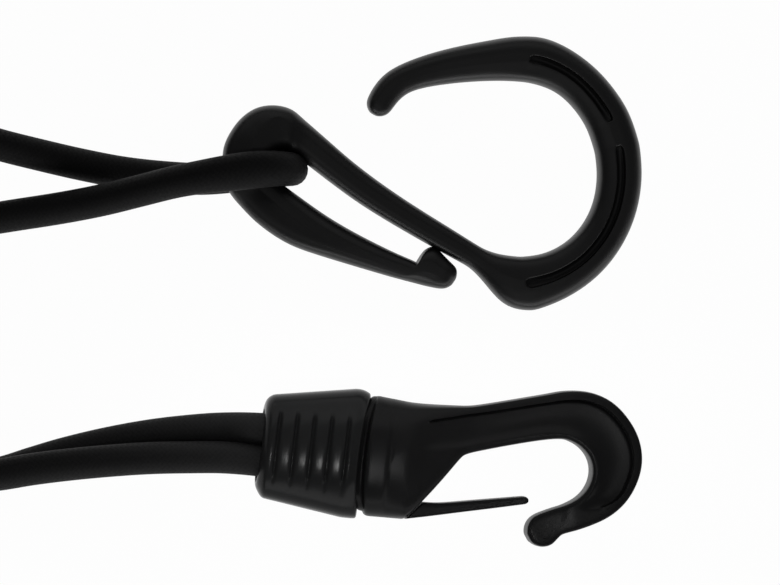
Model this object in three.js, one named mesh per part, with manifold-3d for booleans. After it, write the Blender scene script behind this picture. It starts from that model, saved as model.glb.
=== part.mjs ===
// Elastic cargo net: a square net of shock cord, with two kinds of moulded hook on elastic legs at each side.
// Millimetres, +Z up. The origin is the middle of the net, on the surface that the net lies on.
import * as THREE from 'three';
import { mergeVertices } from 'three/addons/utils/BufferGeometryUtils.js';
import Module from 'manifold-3d';

const wasm = await Module();
wasm.setup();

// Cord and fits
const CORD_D = 5;
const CORD_SIDES = 8;
const FIT = 0.3; // gap between two pieces that touch
const SLOT_FIT = 0.35; // gap each side of the cord in the open hook's slot

// Net
const NET_SIDE = 300; // between the middles of opposite border cords
const CELLS = 4; // meshes along one side
const CORNER_R = 30; // border corner, at the middle of the cord
const SPLICE_L = 18; // sleeve where the two ends of the border cord meet

// Fineness of the lofts and cords: sections along, and points round a section
const BORDER_STEPS = 56;
const STRAND_STEPS = 8;
const LOOP_STEPS = 16;
const SNAP_STRAND_STEPS = 18;
const HOOK_STEPS = 46;
const LATCH_STEPS = 20;
const BODY_STEPS = 30;
const ARM_CHANNEL_STEPS = 14;
const HOOK_SIDES = 10;
const BODY_SIDES = 12;
const CAP_SIDES = 16;
const FINE_SIDES = 8; // channels and the gate

// How square a section is: 2 is an ellipse, and a larger number is nearer to a box
const HOOK_SQUARE = 2.8;
const BODY_SQUARE = 3.2;
const CAP_SQUARE = 3;
const BORE_SQUARE = 2.6;
const GATE_SQUARE = 4;
const CHANNEL_SQUARE = 6;

// Clips
const CLIP_WALL = 1.6;
const CLIP_BEVEL = 0.8;
const CLIP_CORNER = 3;
const CROSS_CLIP_SIDE = 16;
const EDGE_CLIP_L = 14; // along the border
const SOCKET_DEPTH = 8;
const SOCKET_WEB = 1.2; // between a socket's floor and the border tunnel

// Legs, from the middle of the border's side
const EYE_LEG_Y = 24.4;
const EYE_SOCKET_GAP = 15; // between the two sockets of the open hook's leg
const SNAP_LEG_Y = -24.3;
const LOOP_L = 42; // bight of the open hook's leg that goes through its eye
const OVER_EYE = 0.8; // how high the cord rides over the eye
const LIFT_ROUTE = [
  // front strand of the open hook's leg, from its clamp to where it reaches the eye
  [24, -5.9, 5],
  [31, -4.9, 6.2],
  [37, -3.7, 8.2],
  [43, -2.2, 10.4],
  [49, -0.8, 12.8],
];
const FLOOR_ROUTE = [
  // back strand, which lies on the floor from the eye to its clamp
  [58.8, 0.1],
  [52.4, -0.4],
  [45.9, -0.1],
  [39.5, 0.7],
];
const UPPER_ROUTE = [
  // upper strand of the snap hook's leg, from its clamp to the cap
  [20.1, 1, 3.6],
  [25, 2.5, 3.1],
  [30, 3.9, 3],
  [37, 5.7, 3.5],
  [44.3, 7.2, 4.6],
  [51, 7.9, 6],
  [56, 8.1, 7.6],
];
const LOWER_ROUTE = [
  // lower strand, which starts over the upper one and ends beside it
  [20.1, 0.9, 9.3],
  [25, 1.5, 8.9],
  [30, 2.1, 8.7],
  [37, 2.9, 8.8],
  [44.3, 3.3, 9],
  [51, 3.2, 9.3],
  [56, 2.9, 9.5],
];

// Open hook with a sprung latch. Its own frame: x runs along its slot, the origin is the slot's round end.
const HOOK_AT = [64.2, 2.75]; // round end of the slot, from the leg's clamp
const HOOK_TURN = -36.9; // degrees, slot to leg
const PIVOT_ALONG = 3.1; // where the cord crosses the slot
const EYE_WIDTH = 6;
const EYE_DEPTH = 6;
const SPLIT_ANGLE = 236; // degrees round the eye, where the latch's root starts
const SHANK_L = 33;
const SHANK_RISE = 1.7; // how far the shank bows away from the slot
const SHANK_WIDTH = 4.6;
const SHANK_END_WIDTH = 3.6;
const SHANK_DEPTH = 5.2;
const LATCH_ROOT_WIDTH = 6.9;
const LATCH_TIP_WIDTH = 3.5;
const LATCH_DEPTH = 5;
const LATCH_L = 28.4; // to the foot of its barb
const BARB_L = 4.6;
const BARB_END_WIDTH = 3.7;
const C_AT = [30.2, 20.3]; // middle of the open C
const C_RADIUS = 19.6; // middle of its band
const C_WIDTH = 7.1;
const C_DEPTH = 7;
const HEEL_WIDTH = 8.8;
const TIP_WIDTH = 4.3;
const TIP_DEPTH = 4.8;
const TIP_REACH = 2.4; // the tip stands this much further out than the band
const C_CHANNEL_WIDTH = 1.8;
const CHANNEL_DEEP = 1.1;

// Capped snap hook. Its own frame: x runs along the cap's axis, the origin is the seam of cap and body.
const SNAP_AT = [79.3, 3.7]; // seam, from the leg's clamp
const SNAP_TURN = -5; // degrees, axis to leg
const CAP_L = 16.6;
const CAP_WIDE = 20.6;
const CAP_NARROW = 16.4;
const CAP_DEPTH = 15;
const CAP_END_DEPTH = 12.4;
const CAP_END_ROUND = 1.8;
const RIB_GROOVES = 5;
const RIB_PITCH = 2.75;
const RIB_L = 10.6;
const RIB_GROOVE_WIDTH = 1.1;
const RIB_GROOVE_DEEP = 0.8;
const SEAM = 0.6; // open line between cap and body
const BODY_WIDE = 18.8;
const BODY_DEPTH = 13.6;
const SOCKET_BACK = 7; // socket corner where the slanted front starts
const SPIGOT_L = 8;
const SPIGOT_WALL = 1.3;
const ARM_WIDTH = 7.1;
const ARM_DEPTH = 8;
const ARM_RISE = 9.2; // top of the arm above the axis
const ARM_SLOPE = 0.245;
const BEND_AT = [30.9, 0.4]; // middle of the hook's bend
const BEND_INNER_R = 5.2;
const BEND_WIDTH = 8.8;
const BEND_SHIFT = [2.2, 2.1]; // the outer edge's centre from the inner edge's
const NOSE_AT = [29, -9.6];
const NOSE_R = 2.6;
const NECK_WIDTH = 4.4;
const BODY_CHANNEL_WIDTH = 3.6;
const GATE_ROOT = [8.6, -8.1];
const GATE_TIP = [26.2, -4.8];
const GATE_ROOT_WIDTH = 2.4;
const GATE_TIP_WIDTH = 1.3;
const GATE_DEPTH = 6;
const GATE_SWING = 25; // degrees, to fully open
const FERRULE_L = 9;
const FERRULE_WALL = 1;

// Finishes
const cordFinish = new THREE.MeshStandardMaterial({ color: 0x0b0b0c, roughness: 0.75, metalness: 0 });
const hookFinish = new THREE.MeshStandardMaterial({ color: 0x0d0d0e, roughness: 0.42, metalness: 0 });
const capFinish = new THREE.MeshStandardMaterial({ color: 0x141516, roughness: 0.38, metalness: 0 });
const clipFinish = new THREE.MeshStandardMaterial({ color: 0x101011, roughness: 0.5, metalness: 0 });
const ferruleFinish = new THREE.MeshStandardMaterial({ color: 0xb4b6b8, roughness: 0.35, metalness: 1 });

// Sizes that follow from those above
const cordR = CORD_D / 2;
const tunnelR = cordR + FIT;
const netHalf = NET_SIDE / 2;
const pitch = NET_SIDE / CELLS;
const lowZ = CLIP_WALL + tunnelR; // border and wefts
const highZ = lowZ + CORD_D + FIT; // warps, which cross over the wefts
const slotHalf = cordR + SLOT_FIT;
const eyeZ = FIT + CORD_D + FIT + EYE_DEPTH / 2; // the eye lies on the strand behind it
const capZ = CAP_DEPTH / 2 + FIT;
const strandHalfGap = tunnelR;

const part = new THREE.Group();
part.name = 'elastic_cargo_net';

function radians(degrees) {
  return THREE.MathUtils.degToRad(degrees);
}

function place(group, name, geometry, material) {
  const mesh = new THREE.Mesh(geometry, material);
  mesh.name = name;
  group.add(mesh);
  return mesh;
}

// Boolean cuts and joins
function toSolid(geometry) {
  const bare = geometry.clone();
  bare.deleteAttribute('normal');
  bare.deleteAttribute('uv');
  const merged = mergeVertices(bare, 1e-4);
  const mesh = new wasm.Mesh({
    numProp: 3,
    vertProperties: merged.attributes.position.array,
    triVerts: merged.index.array,
  });
  return new wasm.Manifold(mesh);
}

function toGeometry(solid) {
  const mesh = solid.getMesh();
  const geometry = new THREE.BufferGeometry();
  geometry.setAttribute('position', new THREE.BufferAttribute(mesh.vertProperties, 3));
  geometry.setIndex(new THREE.BufferAttribute(mesh.triVerts, 1));
  return geometry;
}

function cut(geometry, tools) {
  let solid = toSolid(geometry);
  for (const tool of tools) solid = solid.subtract(toSolid(tool));
  return toGeometry(solid);
}

function join(geometry, other) {
  return toGeometry(toSolid(geometry).add(toSolid(other)));
}

// Lofts: a band drawn by the points of its left and right edges, with a depth square to the drawing
function across(x, y, width, depth, lean = 90) {
  const half = new THREE.Vector2(Math.cos(radians(lean)), Math.sin(radians(lean))).multiplyScalar(width / 2);
  return {
    left: new THREE.Vector3(x + half.x, y + half.y, depth / 2),
    right: new THREE.Vector3(x - half.x, y - half.y, depth / 2),
  };
}

function around(centre, radius, angle, width, depth, leftIsOut) {
  const x = centre[0] + radius * Math.cos(radians(angle));
  const y = centre[1] + radius * Math.sin(radians(angle));
  return across(x, y, width, depth, leftIsOut ? angle : angle + 180);
}

function edges(left, right, depth) {
  return {
    left: new THREE.Vector3(left[0], left[1], depth / 2),
    right: new THREE.Vector3(right[0], right[1], depth / 2),
  };
}

function power(value, exponent) {
  return Math.sign(value) * Math.abs(value) ** exponent;
}

function section(left, right, sides, squareness) {
  const centre = left.clone().add(right).multiplyScalar(0.5);
  const half = left.clone().sub(right).multiplyScalar(0.5);
  const points = [];
  for (let side = 0; side < sides; side += 1) {
    const angle = (2 * Math.PI * side) / sides;
    const wide = power(Math.cos(angle), 2 / squareness);
    const deep = power(Math.sin(angle), 2 / squareness);
    points.push(new THREE.Vector3(centre.x + half.x * wide, centre.y + half.y * wide, centre.z * deep));
  }
  return points;
}

const ROUND_END = [30, 62]; // degrees round a ball end where it has a section

function ballEnd(left, right, way, sides, squareness) {
  const centre = left.clone().add(right).multiplyScalar(0.5);
  const half = left.clone().sub(right).multiplyScalar(0.5);
  const ahead = new THREE.Vector3(half.y, -half.x, 0).multiplyScalar(way);
  const rings = ROUND_END.map((angle) => {
    const middle = centre.clone().addScaledVector(ahead, Math.sin(radians(angle)));
    const spread = half.clone().multiplyScalar(Math.cos(radians(angle)));
    const depth = centre.z * Math.cos(radians(angle));
    const a = middle.clone().add(spread).setZ(depth);
    const b = middle.clone().sub(spread).setZ(depth);
    return section(a, b, sides, squareness);
  });
  return { rings, pole: centre.add(ahead).setZ(0) };
}

function loft(stations, steps, { sides, squareness = HOOK_SQUARE, ballStart = false, ballFinish = false }) {
  const leftRail = new THREE.CatmullRomCurve3(stations.map((station) => station.left));
  const rightRail = new THREE.CatmullRomCurve3(stations.map((station) => station.right));
  const rings = [];
  for (let step = 0; step <= steps; step += 1) {
    rings.push(section(leftRail.getPoint(step / steps), rightRail.getPoint(step / steps), sides, squareness));
  }
  const first = stations[0];
  const last = stations[stations.length - 1];
  let startPole = first.left.clone().add(first.right).multiplyScalar(0.5).setZ(0);
  let finishPole = last.left.clone().add(last.right).multiplyScalar(0.5).setZ(0);
  if (ballStart) {
    const end = ballEnd(first.left, first.right, -1, sides, squareness);
    rings.unshift(...end.rings.reverse());
    startPole = end.pole;
  }
  if (ballFinish) {
    const end = ballEnd(last.left, last.right, 1, sides, squareness);
    rings.push(...end.rings);
    finishPole = end.pole;
  }
  return skin(rings, startPole, finishPole);
}

function skin(rings, startPole, finishPole) {
  const sides = rings[0].length;
  const points = rings.flat().concat([startPole, finishPole]);
  const start = points.length - 2;
  const finish = points.length - 1;
  const lastRing = (rings.length - 1) * sides;
  const index = [];
  for (let side = 0; side < sides; side += 1) {
    const next = (side + 1) % sides;
    for (let ring = 0; ring < lastRing; ring += sides) {
      index.push(ring + side, ring + next, ring + sides + side);
      index.push(ring + next, ring + sides + next, ring + sides + side);
    }
    index.push(start, next, side);
    index.push(finish, lastRing + side, lastRing + next);
  }
  const geometry = new THREE.BufferGeometry().setFromPoints(points);
  geometry.setIndex(index);
  return geometry;
}

// Cords
function cordSection() {
  const shape = new THREE.Shape();
  for (let side = 0; side < CORD_SIDES; side += 1) {
    const angle = (2 * Math.PI * side) / CORD_SIDES;
    const x = cordR * Math.cos(angle);
    const y = cordR * Math.sin(angle);
    if (side === 0) shape.moveTo(x, y);
    else shape.lineTo(x, y);
  }
  shape.closePath();
  return shape;
}

function cordAlong(path, steps) {
  return new THREE.ExtrudeGeometry(cordSection(), { steps, extrudePath: path, bevelEnabled: false });
}

function stretchOf(path, from, to, points) {
  const total = path.getLength();
  const picked = [];
  for (let point = 0; point <= points; point += 1) {
    picked.push(path.getPointAt(THREE.MathUtils.lerp(from, to, point / points) / total));
  }
  return new THREE.CatmullRomCurve3(picked);
}

function straightCord(length) {
  return new THREE.CylinderGeometry(cordR, cordR, length, CORD_SIDES);
}

// Clips
function roundedPlan(sizeX, sizeY, radius) {
  const x = sizeX / 2 - radius;
  const y = sizeY / 2 - radius;
  const quarter = Math.PI / 2;
  const shape = new THREE.Shape();
  shape.absarc(x, y, radius, 0, quarter);
  shape.absarc(-x, y, radius, quarter, 2 * quarter);
  shape.absarc(-x, -y, radius, 2 * quarter, 3 * quarter);
  shape.absarc(x, -y, radius, 3 * quarter, 4 * quarter);
  return shape;
}

function clipBlock(sizeX, sizeY, height) {
  const plan = roundedPlan(sizeX - 2 * CLIP_BEVEL, sizeY - 2 * CLIP_BEVEL, CLIP_CORNER - CLIP_BEVEL);
  const block = new THREE.ExtrudeGeometry(plan, {
    depth: height - 2 * CLIP_BEVEL,
    bevelThickness: CLIP_BEVEL,
    bevelSize: CLIP_BEVEL,
    bevelSegments: 1,
    curveSegments: 1,
  });
  return block.translate(0, 0, CLIP_BEVEL);
}

function tunnelAlongY(length, z) {
  return new THREE.CylinderGeometry(tunnelR, tunnelR, length, CORD_SIDES).translate(0, 0, z);
}

function tunnelAlongX(length, z) {
  return new THREE.CylinderGeometry(tunnelR, tunnelR, length, CORD_SIDES).rotateZ(Math.PI / 2).translate(0, 0, z);
}

const clipTop = tunnelR + CLIP_WALL; // from the middle of a cord to the outside of its clip
const socketFloor = tunnelR + SOCKET_WEB;
const socketMouth = socketFloor + SOCKET_DEPTH;

function crossClip() {
  const long = CROSS_CLIP_SIDE + 2;
  return cut(clipBlock(CROSS_CLIP_SIDE, CROSS_CLIP_SIDE, highZ + clipTop), [
    tunnelAlongX(long, lowZ),
    tunnelAlongY(long, highZ),
  ]);
}

// The border runs through along y, and the sockets open towards +x
function edgeClip(length, sockets) {
  const height = Math.max(...sockets.map((socket) => socket.z)) + clipTop;
  const sizeX = clipTop + socketMouth;
  const block = clipBlock(sizeX, length, height).translate((socketMouth - clipTop) / 2, 0, 0);
  const reach = SOCKET_DEPTH + 2;
  const holes = sockets.map(({ y, z }) => tunnelAlongX(reach, z).translate(socketFloor + reach / 2, y, 0));
  return cut(block, [tunnelAlongY(length + 2, lowZ), ...holes]);
}

// Net panel
function borderPath() {
  const straight = netHalf - CORNER_R;
  const spliceX = pitch / 2;
  const at = (x, y) => new THREE.Vector3(x, y, lowZ);
  const path = new THREE.CurvePath();
  let from = at(spliceX + FIT, netHalf);
  for (const [x, y] of [[1, 1], [1, -1], [-1, -1], [-1, 1]]) {
    const sideFirst = x === y;
    const enter = sideFirst ? at(x * straight, y * netHalf) : at(x * netHalf, y * straight);
    const leave = sideFirst ? at(x * netHalf, y * straight) : at(x * straight, y * netHalf);
    path.add(new THREE.LineCurve3(from, enter));
    path.add(new THREE.QuadraticBezierCurve3(enter, at(x * netHalf, y * netHalf), leave));
    from = leave;
  }
  path.add(new THREE.LineCurve3(from, at(spliceX - FIT, netHalf)));
  return path;
}

function buildNet(net) {
  place(net, 'border_cord', cordAlong(borderPath(), BORDER_STEPS), cordFinish);
  const splice = cut(clipBlock(SPLICE_L, 2 * clipTop, lowZ + clipTop), [tunnelAlongX(SPLICE_L + 2, lowZ)]);
  place(net, 'border_splice', splice, clipFinish).position.set(pitch / 2, netHalf, 0);

  const cordL = NET_SIDE - 2 * (socketFloor + FIT);
  const low = [{ y: 0, z: lowZ }];
  const high = [{ y: 0, z: highZ }];
  for (let row = 1; row < CELLS; row += 1) {
    const at = row * pitch - netHalf;
    const weft = place(net, `weft_cord_${row}`, straightCord(cordL), cordFinish);
    weft.position.set(0, at, lowZ);
    weft.rotation.z = Math.PI / 2;
    const warp = place(net, `warp_cord_${row}`, straightCord(cordL), cordFinish);
    warp.position.set(at, 0, highZ);

    for (let column = 1; column < CELLS; column += 1) {
      const clip = place(net, `cross_clip_${row}_${column}`, crossClip(), clipFinish);
      clip.position.set(column * pitch - netHalf, at, 0);
    }
    const sides = [
      ['left', -netHalf, at, 0, low],
      ['right', netHalf, at, 180, low],
      ['front', at, -netHalf, 90, high],
      ['back', at, netHalf, -90, high],
    ];
    for (const [side, x, y, turn, sockets] of sides) {
      const clip = place(net, `edge_clip_${side}_${row}`, edgeClip(EDGE_CLIP_L, sockets), clipFinish);
      clip.position.set(x, y, 0);
      clip.rotation.z = radians(turn);
    }
  }
}

// Open hook: eye, shank and C are one moulding, and the latch springs from the eye
const eyeR = slotHalf + EYE_WIDTH / 2;
const shankY = slotHalf + SHANK_WIDTH / 2;
const shankEndY = shankY + SHANK_RISE;

function openHook() {
  const stations = [];
  for (let angle = SPLIT_ANGLE; angle >= 90; angle -= 24) {
    stations.push(around([0, 0], eyeR, angle, EYE_WIDTH, EYE_DEPTH, true));
  }
  stations.push(across(SHANK_L * 0.2, shankY, SHANK_WIDTH, SHANK_DEPTH));
  stations.push(across(SHANK_L * 0.45, shankY, SHANK_WIDTH - 0.2, SHANK_DEPTH));
  stations.push(across(SHANK_L * 0.75, shankY + 0.36 * SHANK_RISE, SHANK_END_WIDTH + 0.3, SHANK_DEPTH, 96));
  stations.push(across(SHANK_L, shankEndY, SHANK_END_WIDTH, SHANK_DEPTH, 100));
  const band = [
    // angle round the C, how far inside the band's circle, width, depth
    [-60, 4.5, 0.5 * (SHANK_END_WIDTH + C_WIDTH), SHANK_DEPTH],
    [-51, 2.7, C_WIDTH, C_DEPTH - 0.5],
    [-43, 1.5, HEEL_WIDTH, C_DEPTH],
    [-20, 0.6, 0.5 * (HEEL_WIDTH + C_WIDTH), C_DEPTH],
    [7, 0, C_WIDTH, C_DEPTH],
    [34, 0, C_WIDTH, C_DEPTH],
    [60, 0, C_WIDTH, C_DEPTH],
    [87, 0.1, C_WIDTH, C_DEPTH],
    [107, 0.6, C_WIDTH + 0.3, C_DEPTH],
    [127, 1.5, C_WIDTH - 0.6, 0.5 * (C_DEPTH + TIP_DEPTH) + 0.4],
    [147, 1.2, 0.5 * (C_WIDTH + TIP_WIDTH), 0.5 * (C_DEPTH + TIP_DEPTH)],
    [167, -0.8, TIP_WIDTH + 0.7, TIP_DEPTH],
    [179, -TIP_REACH, TIP_WIDTH, TIP_DEPTH],
  ];
  for (const [angle, inside, width, depth] of band) {
    stations.push(around(C_AT, C_RADIUS - inside, angle, width, depth, false));
  }
  const tip = around(C_AT, C_RADIUS + TIP_REACH, 186, TIP_WIDTH, TIP_DEPTH, false);
  stations.push(tip);
  const hook = loft(stations, HOOK_STEPS, { sides: HOOK_SIDES, ballFinish: true });
  return cut(hook, channelPair(-36, 50).concat(channelPair(60, 107)));
}

function channelPair(from, to) {
  const steps = Math.ceil((to - from) / 16);
  const stations = [];
  for (let step = 0; step <= steps; step += 1) {
    const angle = THREE.MathUtils.lerp(from, to, step / steps);
    stations.push(around(C_AT, C_RADIUS, angle, C_CHANNEL_WIDTH, 2 * CHANNEL_DEEP, false));
  }
  return [1, -1].map((face) => {
    const channel = loft(stations, steps, { sides: FINE_SIDES, squareness: CHANNEL_SQUARE });
    return channel.translate(0, 0, (face * C_DEPTH) / 2);
  });
}

function openLatch() {
  const stations = [];
  const gap = THREE.MathUtils.radToDeg(FIT / slotHalf);
  for (const angle of [SPLIT_ANGLE + gap, SPLIT_ANGLE + 17, 270]) {
    const width = THREE.MathUtils.mapLinear(angle, SPLIT_ANGLE, 270, EYE_WIDTH, LATCH_ROOT_WIDTH);
    stations.push(around([0, 0], slotHalf + width / 2, angle, width, EYE_DEPTH, false));
  }
  const middle = 0.5 * (LATCH_ROOT_WIDTH + LATCH_TIP_WIDTH);
  stations.push(across(0.37 * LATCH_L, -(slotHalf + LATCH_ROOT_WIDTH / 2), LATCH_ROOT_WIDTH, LATCH_DEPTH, 95));
  stations.push(across(0.6 * LATCH_L, -slotHalf - 0.33 * middle, middle, LATCH_DEPTH, 104));
  stations.push(across(0.84 * LATCH_L, -slotHalf + 0.1 * middle, LATCH_TIP_WIDTH + 0.6, LATCH_DEPTH, 107));
  const foot = -0.25 * LATCH_TIP_WIDTH; // middle of the latch at the foot of its barb
  stations.push(across(LATCH_L, foot, LATCH_TIP_WIDTH, LATCH_DEPTH, 108));
  const barbTop = shankEndY - SHANK_END_WIDTH / 2 - SHANK_RISE / 2;
  stations.push(edges([LATCH_L + 0.5, barbTop], [LATCH_L + 2.1, foot - 0.3 * LATCH_TIP_WIDTH], LATCH_DEPTH));
  stations.push(edges([LATCH_L + 0.6 * BARB_L, barbTop], [LATCH_L + 0.8 * BARB_L, foot], LATCH_DEPTH));
  const end = barbTop - 0.5 * BARB_END_WIDTH - FIT;
  stations.push(across(LATCH_L + BARB_L, end, BARB_END_WIDTH, LATCH_DEPTH - 0.6, 96));
  return loft(stations, LATCH_STEPS, { sides: HOOK_SIDES, ballFinish: true });
}

function buildOpenHook(leg, side) {
  const along = new THREE.Vector2(Math.cos(radians(HOOK_TURN)), Math.sin(radians(HOOK_TURN)));
  const pivot = new THREE.Vector2(...HOOK_AT).addScaledVector(along, PIVOT_ALONG);
  const clamp = edgeClip(EYE_SOCKET_GAP + 2 * clipTop, [
    { y: -EYE_SOCKET_GAP / 2, z: lowZ },
    { y: EYE_SOCKET_GAP / 2, z: lowZ },
  ]);
  place(leg, `leg_clamp_eye_${side}`, clamp, clipFinish);

  const socket = socketFloor + FIT;
  const half = EYE_SOCKET_GAP / 2;
  const overEye = eyeZ + EYE_DEPTH / 2 + FIT + cordR + OVER_EYE;
  const floorZ = cordR + FIT;
  const route = [
    [socket, -half, lowZ],
    [socketMouth + 1, -half, lowZ],
    ...LIFT_ROUTE,
    [54, 0.2, overEye - 0.4],
    [58.5, 0.7, overEye],
    [62.6, 1.1, overEye - 0.5],
    [65.6, 1.25, overEye - 2.6],
    [pivot.x, pivot.y, eyeZ],
    [65.6, 1.25, floorZ + 2.2],
    [62.6, 0.9, floorZ + 0.3],
    ...FLOOR_ROUTE.map(([x, y]) => [x, y, floorZ]),
    [33, 2, floorZ + 0.1],
    [26.5, 3.7, floorZ + 0.6],
    [20.1, 5.6, lowZ - 0.4],
    [socketMouth + 1, half - 0.1, lowZ],
    [socket, half, lowZ],
  ];
  const path = new THREE.CatmullRomCurve3(route.map((point) => new THREE.Vector3(...point)));
  const total = path.getLength();
  const middle = total / 2;
  const front = stretchOf(path, 0, middle - LOOP_L / 2 - FIT / 2, 2 * STRAND_STEPS);
  const loop = stretchOf(path, middle - LOOP_L / 2 + FIT / 2, middle + LOOP_L / 2 - FIT / 2, 1.5 * LOOP_STEPS);
  const back = stretchOf(path, middle + LOOP_L / 2 + FIT / 2, total, 2 * STRAND_STEPS);
  place(leg, `eye_strand_front_${side}`, cordAlong(front, STRAND_STEPS), cordFinish);
  place(leg, `eye_loop_${side}`, cordAlong(loop, LOOP_STEPS), cordFinish);
  place(leg, `eye_strand_back_${side}`, cordAlong(back, STRAND_STEPS), cordFinish);

  const reach = Math.hypot(C_AT[0] - PIVOT_ALONG, C_AT[1]) + C_RADIUS;
  const tilted = new THREE.Group();
  tilted.name = `open_hook_frame_${side}`;
  tilted.position.set(pivot.x, pivot.y, eyeZ);
  tilted.rotation.y = Math.asin((eyeZ - C_DEPTH / 2 - FIT) / reach);
  const slot = new THREE.Group();
  slot.rotation.z = radians(HOOK_TURN);
  tilted.add(slot);
  place(slot, `eye_hook_${side}`, openHook().translate(-PIVOT_ALONG, 0, 0), hookFinish);
  place(slot, `eye_latch_${side}`, openLatch().translate(-PIVOT_ALONG, 0, 0), hookFinish);
  leg.add(tilted);
}

// Snap hook: a moulded body with a bent arm, a springy gate, a ribbed cap and a ferrule on the cord ends
function ovalAlong(from, to, width, depth) {
  const stations = [across(from, 0, width, depth), across(to, 0, width, depth)];
  return loft(stations, 1, { sides: BODY_SIDES, squareness: BORE_SQUARE });
}

function cordTunnels(from, to) {
  return [-1, 1].map((way) => {
    const tunnel = new THREE.CylinderGeometry(tunnelR, tunnelR, to - from, CORD_SIDES).rotateZ(Math.PI / 2);
    return tunnel.translate((from + to) / 2, way * strandHalfGap, 0);
  });
}

const ferruleWidth = 2 * strandHalfGap + 2 * tunnelR + 2 * FERRULE_WALL;
const ferruleDepth = 2 * tunnelR + 2 * FERRULE_WALL;
const boreWidth = ferruleWidth + 2 * FIT;
const boreDepth = ferruleDepth + 2 * FIT;
const spigotWidth = boreWidth + 2 * SPIGOT_WALL;
const spigotDepth = boreDepth + 2 * SPIGOT_WALL;

function snapBody() {
  const stations = [
    edges([SEAM / 2, BODY_WIDE / 2], [SEAM / 2, -BODY_WIDE / 2], BODY_DEPTH),
    edges([0.5 * SOCKET_BACK, ARM_RISE], [0.5 * SOCKET_BACK, -BODY_WIDE / 2], BODY_DEPTH - 0.4),
    edges([SOCKET_BACK + 0.6, ARM_RISE - 0.1], [SOCKET_BACK, -BODY_WIDE / 2], BODY_DEPTH - 1.4),
    edges([SOCKET_BACK + 4, ARM_RISE - 0.1], [SOCKET_BACK + 2.6, -0.64 * BODY_WIDE / 2], BODY_DEPTH - 2.8),
    edges([SOCKET_BACK + 7.2, ARM_RISE], [SOCKET_BACK + 5.3, -0.24 * BODY_WIDE / 2], ARM_DEPTH + 1.4),
    edges([SOCKET_BACK + 10.4, ARM_RISE + 0.4], [SOCKET_BACK + 8.2, 0.15 * BODY_WIDE / 2], ARM_DEPTH + 0.5),
  ];
  const rootX = SOCKET_BACK + 14;
  for (const x of [rootX, rootX + 6]) {
    const top = ARM_RISE + ARM_SLOPE * (x - rootX + 5);
    stations.push(edges([x, top], [x - 0.4, top - ARM_WIDTH], ARM_DEPTH));
  }
  for (const angle of [96, 62, 30, 0, -30, -56]) {
    const way = new THREE.Vector2(Math.cos(radians(angle)), Math.sin(radians(angle)));
    const inner = new THREE.Vector2(...BEND_AT).addScaledVector(way, BEND_INNER_R).toArray();
    const outer = new THREE.Vector2(BEND_AT[0] + BEND_SHIFT[0], BEND_AT[1] + BEND_SHIFT[1]);
    outer.addScaledVector(way, BEND_INNER_R + BEND_WIDTH - Math.hypot(...BEND_SHIFT));
    stations.push(edges(outer.toArray(), inner, ARM_DEPTH));
  }
  stations.push(across(NOSE_AT[0] + 3.4, NOSE_AT[1] + 2.1, NECK_WIDTH, ARM_DEPTH - 1, -68));
  stations.push(across(...NOSE_AT, 2 * NOSE_R, ARM_DEPTH - 1.4, -60));
  const hook = loft(stations, BODY_STEPS, { sides: BODY_SIDES, squareness: BODY_SQUARE, ballFinish: true });
  const whole = join(hook, ovalAlong(-SPIGOT_L, SEAM, spigotWidth, spigotDepth));
  const bore = ovalAlong(-SPIGOT_L - 1, FERRULE_L - SPIGOT_L + 1 + FIT, boreWidth, boreDepth);
  return cut(whole, [bore, ...armChannels(), ...gateSeats()]);
}

function armChannels() {
  const rootX = SOCKET_BACK + 3.5;
  const middle = BEND_INNER_R + 0.5 * BEND_WIDTH;
  const stations = [
    across(rootX, 4.6, BODY_CHANNEL_WIDTH, 1),
    across(rootX + 8, 6.2, BODY_CHANNEL_WIDTH, 1, 97),
    across(rootX + 15, 8, BODY_CHANNEL_WIDTH, 1, 103),
  ];
  for (const angle of [95, 70, 45, 20, -5, -30, -52]) {
    stations.push(around([BEND_AT[0] + 0.5, BEND_AT[1] + 0.5], middle, angle, BODY_CHANNEL_WIDTH, 1, true));
  }
  for (const station of stations) {
    station.left.z = CHANNEL_DEEP;
    station.right.z = CHANNEL_DEEP;
  }
  return [1, -1].map((face) => {
    const channel = loft(stations, ARM_CHANNEL_STEPS, { sides: FINE_SIDES, squareness: CHANNEL_SQUARE });
    return channel.translate(0, 0, (face * ARM_DEPTH) / 2);
  });
}

function gateStations(extra) {
  const lean = 90 + THREE.MathUtils.radToDeg(Math.atan2(GATE_TIP[1] - GATE_ROOT[1], GATE_TIP[0] - GATE_ROOT[0]));
  return [
    across(...GATE_ROOT, GATE_ROOT_WIDTH + extra, GATE_DEPTH + extra, lean),
    across(...GATE_TIP, GATE_TIP_WIDTH + extra, GATE_DEPTH + extra, lean),
  ];
}

function snapGate() {
  const ends = { ballStart: true, ballFinish: true };
  return loft(gateStations(0), 1, { sides: FINE_SIDES, squareness: GATE_SQUARE, ...ends });
}

// Room for the gate shut, half open and open
function gateSeats() {
  return [0, 0.5, 1].map((share) => {
    const seat = loft(gateStations(2 * FIT), 1, { sides: FINE_SIDES, squareness: GATE_SQUARE, ballStart: true });
    seat.translate(-GATE_ROOT[0], -GATE_ROOT[1], 0).rotateZ(radians(share * GATE_SWING));
    return seat.translate(GATE_ROOT[0], GATE_ROOT[1], 0);
  });
}

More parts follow.
